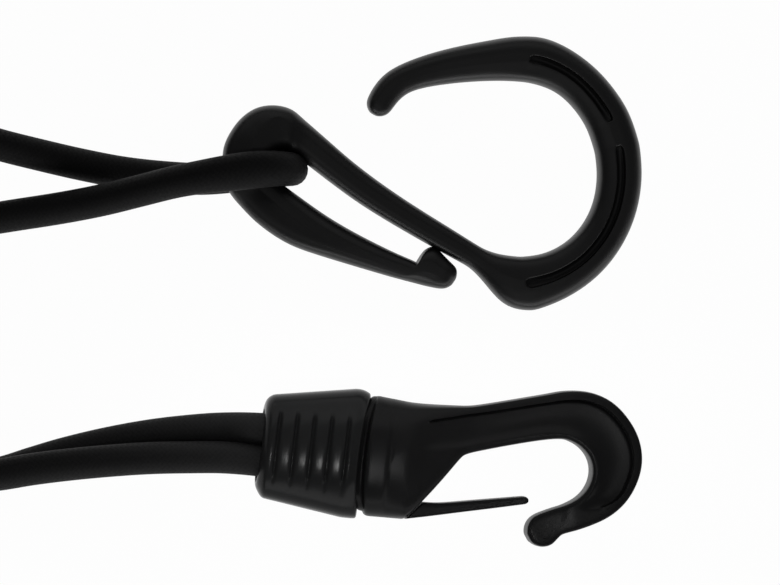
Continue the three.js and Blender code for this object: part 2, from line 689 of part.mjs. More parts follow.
function snapCap() {
  const back = -SEAM / 2;
  const stations = [
    across(back - CAP_L, 0, CAP_NARROW - 2 * CAP_END_ROUND, CAP_END_DEPTH - 2 * CAP_END_ROUND),
    across(back - CAP_L + 0.4, 0, CAP_NARROW - CAP_END_ROUND, CAP_END_DEPTH - CAP_END_ROUND),
    across(back - CAP_L + CAP_END_ROUND, 0, CAP_NARROW, CAP_END_DEPTH),
    across(back - 0.5 * CAP_L, 0, 0.5 * (CAP_NARROW + CAP_WIDE), 0.5 * (CAP_END_DEPTH + CAP_DEPTH)),
    across(back - 2, 0, CAP_WIDE, CAP_DEPTH),
    across(back - 0.6, 0, CAP_WIDE - 0.4, CAP_DEPTH - 0.3),
    across(back, 0, CAP_WIDE - 1.4, CAP_DEPTH - 1.2),
  ];
  const shell = loft(stations, stations.length - 1, { sides: CAP_SIDES, squareness: CAP_SQUARE });
  const bore = ovalAlong(-SPIGOT_L - FIT, 1, spigotWidth + 2 * FIT, spigotDepth + 2 * FIT);
  return cut(shell, [bore, ...cordTunnels(-CAP_L - 2, -SPIGOT_L + 1), ...capGrooves()]);
}

function capGrooves() {
  const grooves = [];
  for (let groove = 0; groove < RIB_GROOVES; groove += 1) {
    const x = -CAP_L + CAP_END_ROUND + (groove + 0.5) * RIB_PITCH;
    const depth = THREE.MathUtils.mapLinear(x, -CAP_L, 0, CAP_END_DEPTH, CAP_DEPTH);
    for (const face of [1, -1]) {
      const bar = new THREE.BoxGeometry(RIB_GROOVE_WIDTH, RIB_L, 2 * RIB_GROOVE_DEEP);
      grooves.push(bar.translate(x, 0, (face * depth) / 2));
    }
  }
  return grooves;
}

function ferrule() {
  const from = -SPIGOT_L + 1;
  const sleeve = ovalAlong(from, from + FERRULE_L, ferruleWidth, ferruleDepth);
  return cut(sleeve, cordTunnels(from - 1, from + FERRULE_L + 1));
}

function buildSnapHook(leg, side) {
  const clamp = edgeClip(2 * clipTop + 2, [
    { y: 0, z: lowZ },
    { y: 0, z: highZ },
  ]);
  place(leg, `leg_clamp_snap_${side}`, clamp, clipFinish);

  const tilted = new THREE.Group();
  tilted.name = `snap_hook_frame_${side}`;
  tilted.position.set(SNAP_AT[0], SNAP_AT[1], capZ);
  tilted.rotation.y = Math.atan((CAP_DEPTH - ARM_DEPTH) / 2 / (BEND_AT[0] + BEND_INNER_R + BEND_WIDTH / 2));
  const axis = new THREE.Group();
  axis.rotation.z = radians(SNAP_TURN);
  tilted.add(axis);
  leg.add(tilted);
  place(axis, `snap_body_${side}`, snapBody(), hookFinish);
  place(axis, `snap_gate_${side}`, snapGate(), hookFinish);
  place(axis, `snap_cap_${side}`, snapCap(), capFinish);
  place(axis, `snap_ferrule_${side}`, ferrule(), ferruleFinish);

  tilted.updateMatrix();
  axis.updateMatrix();
  const toLeg = tilted.matrix.clone().multiply(axis.matrix);
  const inside = (x, y) => new THREE.Vector3(x, y, 0).applyMatrix4(toLeg).toArray();
  const start = socketFloor + FIT;
  const cordEnd = FERRULE_L - SPIGOT_L + 1 - FIT;
  const upper = [
    [start, 0, lowZ],
    [socketMouth + 1, 0, lowZ],
    ...UPPER_ROUTE,
    inside(-CAP_L - 1, strandHalfGap),
    inside(-SPIGOT_L, strandHalfGap),
    inside(cordEnd, strandHalfGap),
  ];
  const lower = [
    [start, 0, highZ],
    [socketMouth + 1, 0, highZ],
    ...LOWER_ROUTE,
    inside(-CAP_L - 1, -strandHalfGap),
    inside(-SPIGOT_L, -strandHalfGap),
    inside(cordEnd, -strandHalfGap),
  ];
  for (const [name, route] of [['upper', upper], ['lower', lower]]) {
    const path = new THREE.CatmullRomCurve3(route.map((point) => new THREE.Vector3(...point)));
    place(leg, `snap_strand_${name}_${side}`, cordAlong(path, SNAP_STRAND_STEPS), cordFinish);
  }
}

// The two hooks on the right, and the same pair turned half round for the left
const net = new THREE.Group();
buildNet(net);
part.add(net);
for (const [side, turn] of [['right', 0], ['left', Math.PI]]) {
  const edge = new THREE.Group();
  edge.rotation.z = turn;
  const eyeLeg = new THREE.Group();
  eyeLeg.position.set(netHalf, EYE_LEG_Y, 0);
  buildOpenHook(eyeLeg, side);
  const snapLeg = new THREE.Group();
  snapLeg.position.set(netHalf, SNAP_LEG_Y, 0);
  buildSnapHook(snapLeg, side);
  edge.add(eyeLeg, snapLeg);
  part.add(edge);
}

export default part;
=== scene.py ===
# %% [markdown]
# # An elastic cargo net
# A square net of braided shock cord lies on a pale floor. At its right and left side a doubled elastic
# leg carries an open hook with a sprung latch, and another carries a snap hook with a ribbed cap. The
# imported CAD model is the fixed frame: every piece below stands for one or more of its solids, in metres,
# at the place where the solid lies.

# %% Load the frame
import math

import bmesh
import bpy
from mathutils import Matrix, Vector
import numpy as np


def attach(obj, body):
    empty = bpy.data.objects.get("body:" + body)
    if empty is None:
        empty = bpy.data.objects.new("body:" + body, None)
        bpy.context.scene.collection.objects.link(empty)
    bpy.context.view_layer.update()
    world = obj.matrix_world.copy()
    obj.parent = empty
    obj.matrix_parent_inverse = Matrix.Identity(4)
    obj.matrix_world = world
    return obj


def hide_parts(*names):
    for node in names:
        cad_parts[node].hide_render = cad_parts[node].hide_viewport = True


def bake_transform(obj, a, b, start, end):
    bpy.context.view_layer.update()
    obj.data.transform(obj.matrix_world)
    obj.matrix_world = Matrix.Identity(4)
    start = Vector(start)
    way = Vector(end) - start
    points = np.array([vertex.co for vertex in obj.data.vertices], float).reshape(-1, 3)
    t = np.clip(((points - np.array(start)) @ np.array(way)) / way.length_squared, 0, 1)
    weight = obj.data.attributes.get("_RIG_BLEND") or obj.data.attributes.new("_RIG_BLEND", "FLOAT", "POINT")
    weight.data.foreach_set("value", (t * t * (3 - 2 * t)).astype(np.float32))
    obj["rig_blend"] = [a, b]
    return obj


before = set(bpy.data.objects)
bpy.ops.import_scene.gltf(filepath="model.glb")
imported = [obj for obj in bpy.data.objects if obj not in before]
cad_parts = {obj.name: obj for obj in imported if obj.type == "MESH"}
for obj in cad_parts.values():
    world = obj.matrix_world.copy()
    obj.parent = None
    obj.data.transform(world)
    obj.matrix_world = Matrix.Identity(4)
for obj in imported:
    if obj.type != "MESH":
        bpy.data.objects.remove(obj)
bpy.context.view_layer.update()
bpy.ops.object.select_all(action="DESELECT")

MM = 0.001
HALF_TURN = Matrix.Rotation(math.pi, 4, "Z")

# %% [markdown]
# ## The camera
# The hooks are looked at from straight above, so the camera looks down the Z axis and needs no turn at
# all. A long lens keeps the view nearly parallel. The distance follows from the width that the picture
# spans on the hooks.

# %% Camera over the right-hand hooks
VIEW_MIDDLE = Vector((233.0, 5.7, 5.0)) * MM
VIEW_WIDTH = 125.8 * MM
LENS = 450.0
SENSOR = 36.0

camera_data = bpy.data.cameras.new("photo_camera")
camera_data.lens = LENS
camera_data.sensor_width = SENSOR
camera_data.clip_start = 10 * MM
camera = bpy.data.objects.new("photo_camera", camera_data)
camera.location = VIEW_MIDDLE + Vector((0, 0, LENS * VIEW_WIDTH / SENSOR))
bpy.context.scene.collection.objects.link(camera)
bpy.context.scene.camera = camera
bpy.context.scene.view_settings.view_transform = "Standard"
print("camera height", round(camera.location.z, 4))

# %% [markdown]
# ## Routes for the cords
# A cord is a smooth curve through a few measured points. The cubic used here passes through every one of
# them, so the points can be read straight from the drawing. The curve is then walked in even steps, which
# keeps the rings of the tube and the stitches of its braid the same size all along.


# %% Smooth and even routes
def smooth_route(points, steps):
    spots = [Vector(point) for point in points]
    spots = [2 * spots[0] - spots[1], *spots, 2 * spots[-1] - spots[-2]]
    route = []
    for a, b, c, d in zip(spots, spots[1:], spots[2:], spots[3:]):
        ab, bc, cd = (math.sqrt((q - p).length) for p, q in ((a, b), (b, c), (c, d)))
        leave = ((b - a) / ab - (c - a) / (ab + bc) + (c - b) / bc) * bc
        arrive = ((c - b) / bc - (d - b) / (bc + cd) + (d - c) / cd) * bc
        for step in range(steps):
            t = step / steps
            route.append(
                b * (1 - 3 * t**2 + 2 * t**3)
                + c * (3 * t**2 - 2 * t**3)
                + leave * (t - 2 * t**2 + t**3)
                + arrive * (t**3 - t**2)
            )
    route.append(spots[-2])
    return route


def route_length(route):
    return sum((b - a).length for a, b in zip(route, route[1:]))


def even_route(route, step):
    total = route_length(route)
    count = max(2, round(total / step))
    even, walked, target = [route[0]], 0.0, total / count
    for a, b in zip(route, route[1:]):
        stretch = (b - a).length
        while len(even) < count and walked + stretch >= target * len(even):
            even.append(a.lerp(b, (target * len(even) - walked) / stretch))
        walked += stretch
    return [*even, route[-1]]


# %% [markdown]
# ## Cord tubes
# Each cord is a closed tube of rings that turn as little as possible along the route. Its UV map runs
# once round the cord, and along it in the same unit, so that a braid drawn on it keeps its shape. Where
# the bight is drawn hard over the eye the cord is pressed wider than it is high.

# %% Make a tube along a route
CORD_D = 5.0 * MM
RING_POINTS = 20


def cord_tube(name, route, thick=CORD_D, press=None):
    mesh = bmesh.new()
    braid = mesh.loops.layers.uv.new("UVMap")
    side = Vector((0, 0, 1)).cross(route[1] - route[0]).normalized()
    rings, along, marks = [], 0.0, []
    for k, spot in enumerate(route):
        ahead = (route[min(k + 1, len(route) - 1)] - route[max(k - 1, 0)]).normalized()
        side = (side - ahead * side.dot(ahead)).normalized()
        up = ahead.cross(side)
        wide, high = press(spot) if press else (1.0, 1.0)
        ring = []
        for point in range(RING_POINTS):
            angle = 2 * math.pi * point / RING_POINTS
            across = side * (math.cos(angle) * wide) + up * (math.sin(angle) * high)
            ring.append(mesh.verts.new(spot + across * (thick / 2)))
        along += (spot - route[max(k - 1, 0)]).length
        marks.append(along / (math.pi * CORD_D))
        rings.append(ring)
    for k in range(len(rings) - 1):
        here, there = rings[k], rings[k + 1]
        for point in range(RING_POINTS):
            after = (point + 1) % RING_POINTS
            face = mesh.faces.new((here[point], here[after], there[after], there[point]))
            face.smooth = True
            left, right = point / RING_POINTS, (point + 1) / RING_POINTS
            corners = ((left, marks[k]), (right, marks[k]), (right, marks[k + 1]), (left, marks[k + 1]))
            for loop, corner in zip(face.loops, corners):
                loop[braid].uv = corner
    mesh.faces.new(list(reversed(rings[0])))
    mesh.faces.new(rings[-1])
    bmesh.ops.recalc_face_normals(mesh, faces=mesh.faces)
    data = bpy.data.meshes.new(name)
    mesh.to_mesh(data)
    mesh.free()
    tube = bpy.data.objects.new(name, data)
    bpy.context.scene.collection.objects.link(tube)
    print(name, "length", round(route_length(route), 4), "rings", len(rings))
    return tube


# %% [markdown]
# ## The elastic legs
# The open hook hangs in a bight: one cord leaves the clamp on the border, climbs onto the eye, goes down
# through the slot and comes back underneath. It is one cord on the real net, so it is one tube here,
# although the frame keeps it as three solids. The snap hook's leg is two cords, one over the other at the
# clamp and side by side in the cap, that end in a metal ferrule.

# %% Leg routes, in millimetres from the clamp on the border
NET_HALF = 150.0
EYE_LEG = Vector((NET_HALF, 24.4, 0.0))
SNAP_LEG = Vector((NET_HALF, -24.3, 0.0))
EYE_LEG_POINTS = [
    (4.3, -7.5, 4.4), (13, -7.5, 4.4), (24, -6.0, 5), (31, -4.9, 6.2), (37, -3.75, 8.2), (43, -2.3, 10.4),
    (49, -0.85, 12.8), (54, 0.0, 14.8), (57.6, 0.5, 15.2), (61.1, 0.95, 15.2), (64.2, 1.15, 14.4),
    (66.5, 1.2, 12.1), (67.3, 1.1, 9.0), (66.5, 1.05, 5.9), (64.2, 0.85, 3.6), (61.1, 0.45, 2.8),
    (57.4, 0.0, 2.75), (52.4, -0.35, 2.8), (45.9, 0, 2.8), (39.5, 0.75, 2.8), (33, 2, 2.9), (26.5, 3.5, 3.4),
    (20.1, 5.1, 4.0), (13, 7.2, 4.4), (4.3, 7.5, 4.4),
]
SNAP_UPPER_POINTS = [
    (4.3, 0, 4.4), (13, 0, 4.4), (20.1, 0.9, 3.6), (25, 2.4, 3.1), (30, 3.9, 3), (37, 5.6, 3.5),
    (44.3, 6.95, 4.6), (51, 7.75, 6), (56, 8.1, 7.2),
]
SNAP_LOWER_POINTS = [
    (4.3, 0, 9.7), (13, 0, 9.7), (20.1, 0.7, 9.3), (25, 1.5, 8.9), (30, 2.15, 8.7), (37, 2.85, 8.8),
    (44.3, 3.35, 9), (51, 3.5, 9.3), (56, 3.5, 9.6),
]
print("points of the bight's leg", len(EYE_LEG_POINTS))

# %% [markdown]
# Each hook is drawn flat, in millimetres, round a point of its own. A matrix carries the drawing to where
# the hook lies: it is turned in its plane, tilted as the hook leans, and moved.

# %% Places of the two hooks
EYE_PIVOT = Vector((66.68, 0.89, 8.6))
HOOK_TILT, HOOK_TURN, HOOK_SHIFT = math.asin(0.0898), -36.9, -3.1
SNAP_SEAT = Vector((79.3, 3.7, 7.8))
SNAP_TILT, SNAP_TURN = math.atan(3.5 / 40.5), -5.0


def flat_frame(origin, tilt, turn, shift=0.0):
    """From a hook's own flat drawing in millimetres to its place in the model."""
    return (
        Matrix.Translation(origin * MM)
        @ Matrix.Rotation(tilt, 4, "Y")
        @ Matrix.Rotation(math.radians(turn), 4, "Z")
        @ Matrix.Scale(MM, 4)
        @ Matrix.Translation((shift, 0, 0))
    )


open_frame = flat_frame(EYE_LEG + EYE_PIVOT, HOOK_TILT, HOOK_TURN, HOOK_SHIFT)
snap_frame = flat_frame(SNAP_LEG + SNAP_SEAT, SNAP_TILT, SNAP_TURN)
print("open hook at", list(open_frame.translation), "snap hook at", list(snap_frame.translation))

# %% [markdown]
# Inside the cap the two cords of the snap hook follow its drawing, so the last points of their routes are
# given there. The braid makes the legs a little thicker than the elastic core.

# %% Leg cords
RING_STEP = 1.2 * MM
STEPS_BETWEEN = 12
LEG_COVER_D = 5.2 * MM
CAP_ENTRY, SPIGOT_END, CORD_END = -17.6, -8.0, 1.7
UPPER_IN_CAP, LOWER_IN_CAP = (2.85, 2.75, 2.8), (-2.2, -2.7, -2.8)
PRESS_AT, PRESS_REACH = (EYE_LEG + Vector((60, 0.8, 15))) * MM, 7 * MM
PRESS_WIDER, PRESS_LOWER = 0.16, 0.12


def leg_route(leg, points, tail=()):
    spots = [(leg + Vector(point)) * MM for point in points] + list(tail)
    return even_route(smooth_route(spots, STEPS_BETWEEN), RING_STEP)


def in_cap(offsets):
    return [snap_frame @ Vector((x, y, 0)) for x, y in zip((CAP_ENTRY, SPIGOT_END, CORD_END), offsets)]


def press_over_eye(spot):
    """How much wider and flatter the cord is, by how near it is to the eye."""
    near = math.exp(-(((spot - PRESS_AT).length / PRESS_REACH) ** 2))
    return 1 + PRESS_WIDER * near, 1 - PRESS_LOWER * near


leg_routes = {
    "eye_leg": leg_route(EYE_LEG, EYE_LEG_POINTS),
    "snap_leg_upper": leg_route(SNAP_LEG, SNAP_UPPER_POINTS, in_cap(UPPER_IN_CAP)),
    "snap_leg_lower": leg_route(SNAP_LEG, SNAP_LOWER_POINTS, in_cap(LOWER_IN_CAP)),
}
leg_cords = {}
for leg_name, route in leg_routes.items():
    press = press_over_eye if leg_name == "eye_leg" else None
    leg_cords[leg_name] = cord_tube(f"{leg_name}_right", route, LEG_COVER_D, press)

# %% [markdown]
# ## The cords of the net
# The border is one cord that runs all the way round and ends in a sleeve. Three wefts and three warps
# cross inside it, the warps on top. Straight cords need few rings, while the border needs fine ones at
# its corners.

# %% Border, wefts and warps
LOW_Z, HIGH_Z = 4.4, 9.7
CORNER_R, CORNER_STEPS = 30.0, 24
PITCH, ROWS = 75.0, (1, 2, 3)
SPLICE_X, SPLICE_GAP = PITCH / 2, 0.3
SOCKET_END = 4.3
STRAIGHT_STEP = 8 * MM


def border_route():
    straight = NET_HALF - CORNER_R
    points = [Vector((SPLICE_X + SPLICE_GAP, NET_HALF, LOW_Z))]
    for x, y in ((1, 1), (1, -1), (-1, -1), (-1, 1)):
        corner = Vector((x * NET_HALF, y * NET_HALF, LOW_Z))
        on_side = Vector((x * straight, y * NET_HALF, LOW_Z))
        on_end = Vector((x * NET_HALF, y * straight, LOW_Z))
        enter, leave = (on_side, on_end) if x == y else (on_end, on_side)
        for step in range(CORNER_STEPS + 1):
            t = step / CORNER_STEPS
            points.append(enter * (1 - t) ** 2 + corner * (2 * t * (1 - t)) + leave * t**2)
    points.append(Vector((SPLICE_X - SPLICE_GAP, NET_HALF, LOW_Z)))
    return [point * MM for point in points]


net_cords = {"border_cord": cord_tube("border_cord_braid", even_route(border_route(), 2 * RING_STEP))}
cord_reach = NET_HALF - SOCKET_END
for row in ROWS:
    at = row * PITCH - NET_HALF
    weft = [Vector((x, at, LOW_Z)) * MM for x in (-cord_reach, cord_reach)]
    warp = [Vector((at, y, HIGH_Z)) * MM for y in (-cord_reach, cord_reach)]
    for name, route in ((f"weft_cord_{row}", weft), (f"warp_cord_{row}", warp)):
        net_cords[name] = cord_tube(f"{name}_braid", even_route(route, STRAIGHT_STEP))

# %% [markdown]
# ## How the mouldings are drawn
# A moulded hook is a bent bar whose width and thickness change along it. It could be carved from a plate,
# but a bar is easier to follow: one section is added as a filled circle, moved onto the first section of
# the drawing, and extruded from section to section. A section is given by the two edges of the bar in the
# drawing, its depth, a slope where the moulding has a facet, the two lines on its broad face between
# which a channel may lie, and the radius of its rounded edges. A slope above zero lets the face fall from
# the first line to the left edge. A slope below zero lowers the face and lets it rise again from the last
# line to the right edge. The smoothing at the end draws a bar in a little, so its edges are set out by
# that much.

# %% Stations of a bar
PLAIN_FACE = (0.36, 0.64)
HOOK_ROUND = 2.2


def direction(angle):
    return Vector((math.cos(math.radians(angle)), math.sin(math.radians(angle))))


def station(left, right, depth, slope=0.0, face=PLAIN_FACE, rounding=HOOK_ROUND):
    return Vector((*left, *right, depth, slope, *face, rounding))


def around(centre, angle, left_r, right_r, *others):
    way = direction(angle)
    return station(Vector(centre) + way * left_r, Vector(centre) + way * right_r, *others)


# %% Section at a station
FACE_SHARES = (0, 0.12, 0.5, 0.88, 1)
EDGE_TURNS = (0.134, 0.5)
ROUND_WIDE, ROUND_DEEP = 0.34, 0.45
SMOOTHING_SHARE = 0.045
CROWN_POWER, CROWN_FROM, CROWN_FULL = 2.4, 2.6, 4.3


def height_at(from_edge, wide, depth, rounding):
    """Half the thickness: flat between round edges, and crowned where the rounding is large."""
    inside = max(0.0, rounding - from_edge)
    flat = depth / 2 - rounding + math.sqrt(rounding**2 - inside**2)
    from_middle = abs(1 - 2 * from_edge / wide)
    crowned = depth / 2 * (1 - from_middle**CROWN_POWER) ** (1 / CROWN_POWER)
    return flat + (crowned - flat) * min(1.0, max(0.0, (rounding - CROWN_FROM) / (CROWN_FULL - CROWN_FROM)))


def mirrored_under(top):
    return [Vector((spot.x, spot.y, -spot.z)) for spot in reversed(top)]


def section(row):
    left, right = Vector(row[0:2]), Vector(row[2:4])
    depth, slope, first, last, rounding = row[4:9]
    wide = (left - right).length
    rounding = min(rounding, ROUND_WIDE * wide, ROUND_DEEP * depth)
    allowance = (left - right) / wide * (SMOOTHING_SHARE * rounding)
    left, right = left + allowance, right - allowance
    edges = [turn * rounding / wide for turn in EDGE_TURNS]
    faces = [first + share * (last - first) for share in FACE_SHARES]
    beside = (last + 1 - edges[1]) / 2
    top = []
    for share in (*edges, *faces, beside, *(1 - edge for edge in reversed(edges))):
        high = height_at(min(share, 1 - share) * wide, wide, depth, rounding)
        fall = 1 - share / first if slope > 0 else min(1.0, (1 - share) / (1 - last))
        spot = left.lerp(right, share)
        top.append(Vector((spot.x, spot.y, high * (1 - abs(slope) * max(0.0, fall)))))
    return [left.to_3d(), *top, right.to_3d(), *mirrored_under(top)]


# %% [markdown]
# The points of a section have numbers, the columns of the bar. Channels and creases are found by them:
# the columns between the two lines of the upper face, the same ones underneath, and all of them. A free
# end is closed by a few more sections that shrink along a quarter circle.

# %% Columns and round ends
FACE_COLUMNS, FACE_MIDDLE = (3, 7), 5
UNDER_COLUMNS, UNDER_MIDDLE = (15, 19), 17
ALL_COLUMNS = (0, 21)
ROUND_END_ANGLES = (26, 48, 66, 79)


def round_end(row):
    left, right, rounding = Vector(row[0:2]), Vector(row[2:4]), row[8]
    middle, half = (left + right) / 2, (left - right) / 2
    ahead = Vector((half.y, -half.x))
    rounding = min(rounding, ROUND_WIDE * 2 * half.length, ROUND_DEEP * row[4])
    rings = []
    for angle in ROUND_END_ANGLES:
        out, shrink = math.sin(math.radians(angle)), math.cos(math.radians(angle))
        centre = middle + ahead * out
        depth = 2 * height_at(half.length * (1 - out), 2 * half.length, row[4], rounding)
        end_row = station(centre + half * shrink, centre - half * shrink, depth, 0, PLAIN_FACE, rounding)
        rings.append(section(end_row))
    return rings


print("columns of a bar", ALL_COLUMNS[1] + 1)

# %% [markdown]
# The operators work on what is selected in edit mode. After an extrusion only the new section is
# selected, and each of its points still carries the number of the column it came from, so it can be moved
# to its own place on the next section. The numbers of column and row stay on the mesh until the piece is
# finished.


# %% Extrude a bar along its sections
def point_numbers(mesh):
    return mesh.verts.layers.int["column"], mesh.verts.layers.int["row"]


def add_bar(name, rings, place):
    bpy.ops.object.select_all(action="DESELECT")
    bpy.ops.mesh.primitive_circle_add(vertices=len(rings[0]), radius=MM, fill_type="NGON")
    bar = bpy.context.object
    bar.name = bar.data.name = name
    for key, numbers in (("column", range(len(rings[0]))), ("row", [0] * len(rings[0]))):
        bar.data.attributes.new(key, "INT", "POINT").data.foreach_set("value", list(numbers))
    bpy.ops.object.mode_set(mode="EDIT")
    bpy.ops.mesh.select_all(action="SELECT")
    for number, ring in enumerate(rings):
        if number:
            bpy.ops.mesh.extrude_region_move()
        mesh = bmesh.from_edit_mesh(bar.data)
        column, row = point_numbers(mesh)
        for vertex in [vertex for vertex in mesh.verts if vertex.select]:
            vertex[row] = number
            vertex.co = place @ ring[vertex[column]]
        bmesh.update_edit_mesh(bar.data)
    bpy.ops.mesh.select_all(action="SELECT")
    bpy.ops.mesh.normals_make_consistent(inside=False)
    bpy.ops.mesh.select_all(action="DESELECT")
    print(name, "sections", len(rings))
    return bar


def smooth_piece(piece, levels=2):
    bpy.ops.object.mode_set(mode="OBJECT")
    finish = piece.modifiers.new("smooth", "SUBSURF")
    finish.levels = finish.render_levels = levels
    bpy.ops.object.modifier_apply(modifier=finish.name)
    bpy.ops.object.shade_smooth()
    for key in ("column", "row"):
        piece.data.attributes.remove(piece.data.attributes[key])
    print(piece.name, "faces", len(piece.data.polygons))
    return piece


# %% [markdown]
# Three tools finish a bar before it is smoothed. A strip of faces can be sunk by insets, as a channel
# with crisp walls. The points of some columns can be moved inwards, as a shallow hollow. And the edges
# along a strip can be creased, so that the smoothing keeps them.

# %% Channels, hollows and creases
CHANNEL_EDGE = 0.05 * MM
EASE_ROWS = 3


def in_strip(mesh, rows, columns):
    column, row = point_numbers(mesh)
    return lambda item: all(
        rows[0] <= vertex[row] <= rows[1] and columns[0] <= vertex[column] <= columns[1]
        for vertex in item.verts
    )


def sink_strip(piece, rows, columns, deep):
    """Sink a strip of faces, with close edges that stay crisp when the piece is smoothed."""
    bpy.ops.mesh.select_mode(type="FACE")
    bpy.ops.mesh.select_all(action="DESELECT")
    mesh = bmesh.from_edit_mesh(piece.data)
    chosen = list(filter(in_strip(mesh, rows, columns), mesh.faces))
    for face in chosen:
        face.select_set(True)
    bmesh.update_edit_mesh(piece.data)
    for depth in (0, -deep, 0):
        bpy.ops.mesh.inset(thickness=CHANNEL_EDGE, depth=depth)
    print(piece.name, "channel faces", len(chosen))


def hollow_strip(piece, rows, depths, place):
    """Move the points of some columns towards the middle of the bar, less near the ends of the strip."""
    back = place.inverted()
    mesh = bmesh.from_edit_mesh(piece.data)
    column, row = point_numbers(mesh)
    for vertex in mesh.verts:
        if vertex[column] in depths and rows[0] < vertex[row] < rows[1]:
            spot = back @ vertex.co
            from_end = min(vertex[row] - rows[0], rows[1] - vertex[row])
            spot.z -= math.copysign(depths[vertex[column]] * min(1, from_end / EASE_ROWS), spot.z)
            vertex.co = place @ spot
    bmesh.update_edit_mesh(piece.data)


def crease_strip(piece, rows, columns, sharp=1.0):
    mesh = bmesh.from_edit_mesh(piece.data)
    layers = mesh.edges.layers.float
    crease = layers.get("crease_edge") or layers.new("crease_edge")
    for edge in filter(in_strip(mesh, rows, columns), mesh.edges):
        edge[crease] = sharp
    bmesh.update_edit_mesh(piece.data)


# %% [markdown]
# ## The open hook
# Eye, shank and C are one moulding. The bar starts at the split of the eye, goes round the slot's end,
# along the shank and round the C to its tip. A facet falls to the outer rim of the eye, and dies out
# towards the split and the shank. Two narrow channels run along each face of the C, as they are moulded
# to keep the wall even.

# %% Drawing of the eye and the shank
RIM_MIDDLE, SLOT_END, SLOT_R = Vector((0, 0.13)), Vector((2.2, 0.1)), 2.3
SPLIT_ANGLE, SPLIT_RIM = 236, 8.7
EYE_DEPTH, SHANK_DEPTH = 6.0, 5.2
EYE_FACET = 0.18
EYE_RIM = [  # angle, radius of the rim, slope of the facet, the lines on the face
    (SPLIT_ANGLE, SPLIT_RIM, 0, (0.61, 0.8)),
    (205, 8.3, EYE_FACET, (0.55, 0.76)),
    (180, 8.2, EYE_FACET, (0.47, 0.72)),
    (161, 8.42, EYE_FACET, (0.44, 0.68)),
    (144, 8.62, 0.75 * EYE_FACET, (0.35, 0.64)),
    (125, 8.59, 0.25 * EYE_FACET, (0.24, 0.64)),
    (107, 8.43, 0, PLAIN_FACE),
]
SHANK = [  # upper edge, lower edge
    ((0.2, 8.09), (2.6, 2.5)),
    ((5, 7.75), (5, 2.57)),
    ((10, 7.4), (10, 2.54)),
    ((15, 7.34), (15.1, 2.64)),
    ((20, 7.52), (20.3, 3.07)),
    ((24.8, 7.87), (25.4, 3.67)),
    ((29.6, 8.31), (30.4, 4.34)),
]


def eye_edges(angle, rim):
    way = direction(angle)
    return RIM_MIDDLE + way * rim, SLOT_END + way * SLOT_R


eye_and_shank = []
for angle, rim, slope, face in EYE_RIM:
    eye_and_shank.append(station(*eye_edges(angle, rim), EYE_DEPTH, slope, face))
eye_and_shank += [station(upper, lower, SHANK_DEPTH) for upper, lower in SHANK]
print("eye and shank", len(eye_and_shank), "stations")

# %% [markdown]
# The C is drawn in turns about its middle. Its rows are taken from a smooth curve through the table, in
# even steps, with close ones at the ends of the channels, where the channels also become narrower.

# %% Drawing of the C
C_MIDDLE = (30.2, 20.3)
C_DEPTH, TIP_DEPTH = 7.0, 4.8
C_BAND = [  # angle round the middle of the C, inner radius, outer radius, depth
    (-76, 11.97, 15.6, SHANK_DEPTH),
    (-70, 12.26, 15.95, SHANK_DEPTH),
    (-64, 12.65, 16.9, 5.4),
    (-58, 12.98, 18.6, 5.9),
    (-52, 13.32, 20.95, 6.5),
    (-46, 13.64, 22.3, 6.9),
    (-38, 14.2, 22.97, C_DEPTH),
    (-24, 15.1, 23.05, C_DEPTH),
    (-8, 15.84, 23.2, C_DEPTH),
    (12, 16.17, 23.2, C_DEPTH),
    (34, 16.03, 23.13, C_DEPTH),
    (54, 15.9, 23.07, C_DEPTH),
    (74, 15.87, 22.82, C_DEPTH),
    (91, 15.74, 22.72, C_DEPTH),
    (106, 15.1, 22.62, C_DEPTH),
    (118, 14.62, 21.85, 6.6),
    (132, 14.54, 20.9, 6.1),
    (146, 15.12, 20.99, 5.5),
    (160, 16.53, 22.0, 5),
    (171, 18.35, 23.35, TIP_DEPTH),
    (178, 19.5, 24.1, TIP_DEPTH),
    (187, 19.75, 24.0, TIP_DEPTH),
]
print("the C spans", C_BAND[-1][0] - C_BAND[0][0], "degrees")

# %% Rows round the C
C_FIRST, C_LAST, C_STEP = -70, 187, 6
C_BETWEEN = 8
C_SMOOTHING = 0.19
C_CHANNELS = ((-40, 49), (61, 112))
CHANNEL_END_STEPS, CLOSEST_STEP = (0, 1.4, 4), 2.2
CHANNEL_HALF, CHANNEL_END_SHARE, CHANNEL_WIDENS = 0.095, 0.55, 0.3


def c_angles():
    """Even steps round the C, and close ones at the ends of the channels."""
    ends = []
    for first, last in C_CHANNELS:
        ends += [first + step for step in CHANNEL_END_STEPS] + [last - step for step in CHANNEL_END_STEPS]
    even = [*range(C_FIRST, C_LAST, C_STEP), C_LAST]
    return sorted([*ends, *(at for at in even if min(abs(at - end) for end in ends) > CLOSEST_STEP)])


def c_row(angle, band):
    before = max(k for k in range(len(band) - 1) if band[k][0] <= angle)
    share = (angle - band[before][0]) / (band[before + 1][0] - band[before][0])
    inner, outer, depth = band[before].lerp(band[before + 1], share)[1:4]
    outer += C_SMOOTHING
    inner += C_SMOOTHING / 3
    from_end = min(abs(angle - end) for channel in C_CHANNELS for end in channel)
    half = CHANNEL_HALF * min(1, CHANNEL_END_SHARE + CHANNEL_WIDENS * from_end)
    return around(C_MIDDLE, angle, inner, outer, depth, 0, (0.5 - half, 0.5 + half))


c_band = smooth_route(C_BAND, C_BETWEEN)
c_rows = [c_row(angle, c_band) for angle in c_angles()]
print("rows round the C", len(c_rows))

# %% [markdown]
# The bar is extruded through all these rows. The channels are sunk strip by strip on both faces, and
# their floors are hollowed a little. The split and the facet are creased, because they are crisp on the
# real moulding and subdivision would round them away.

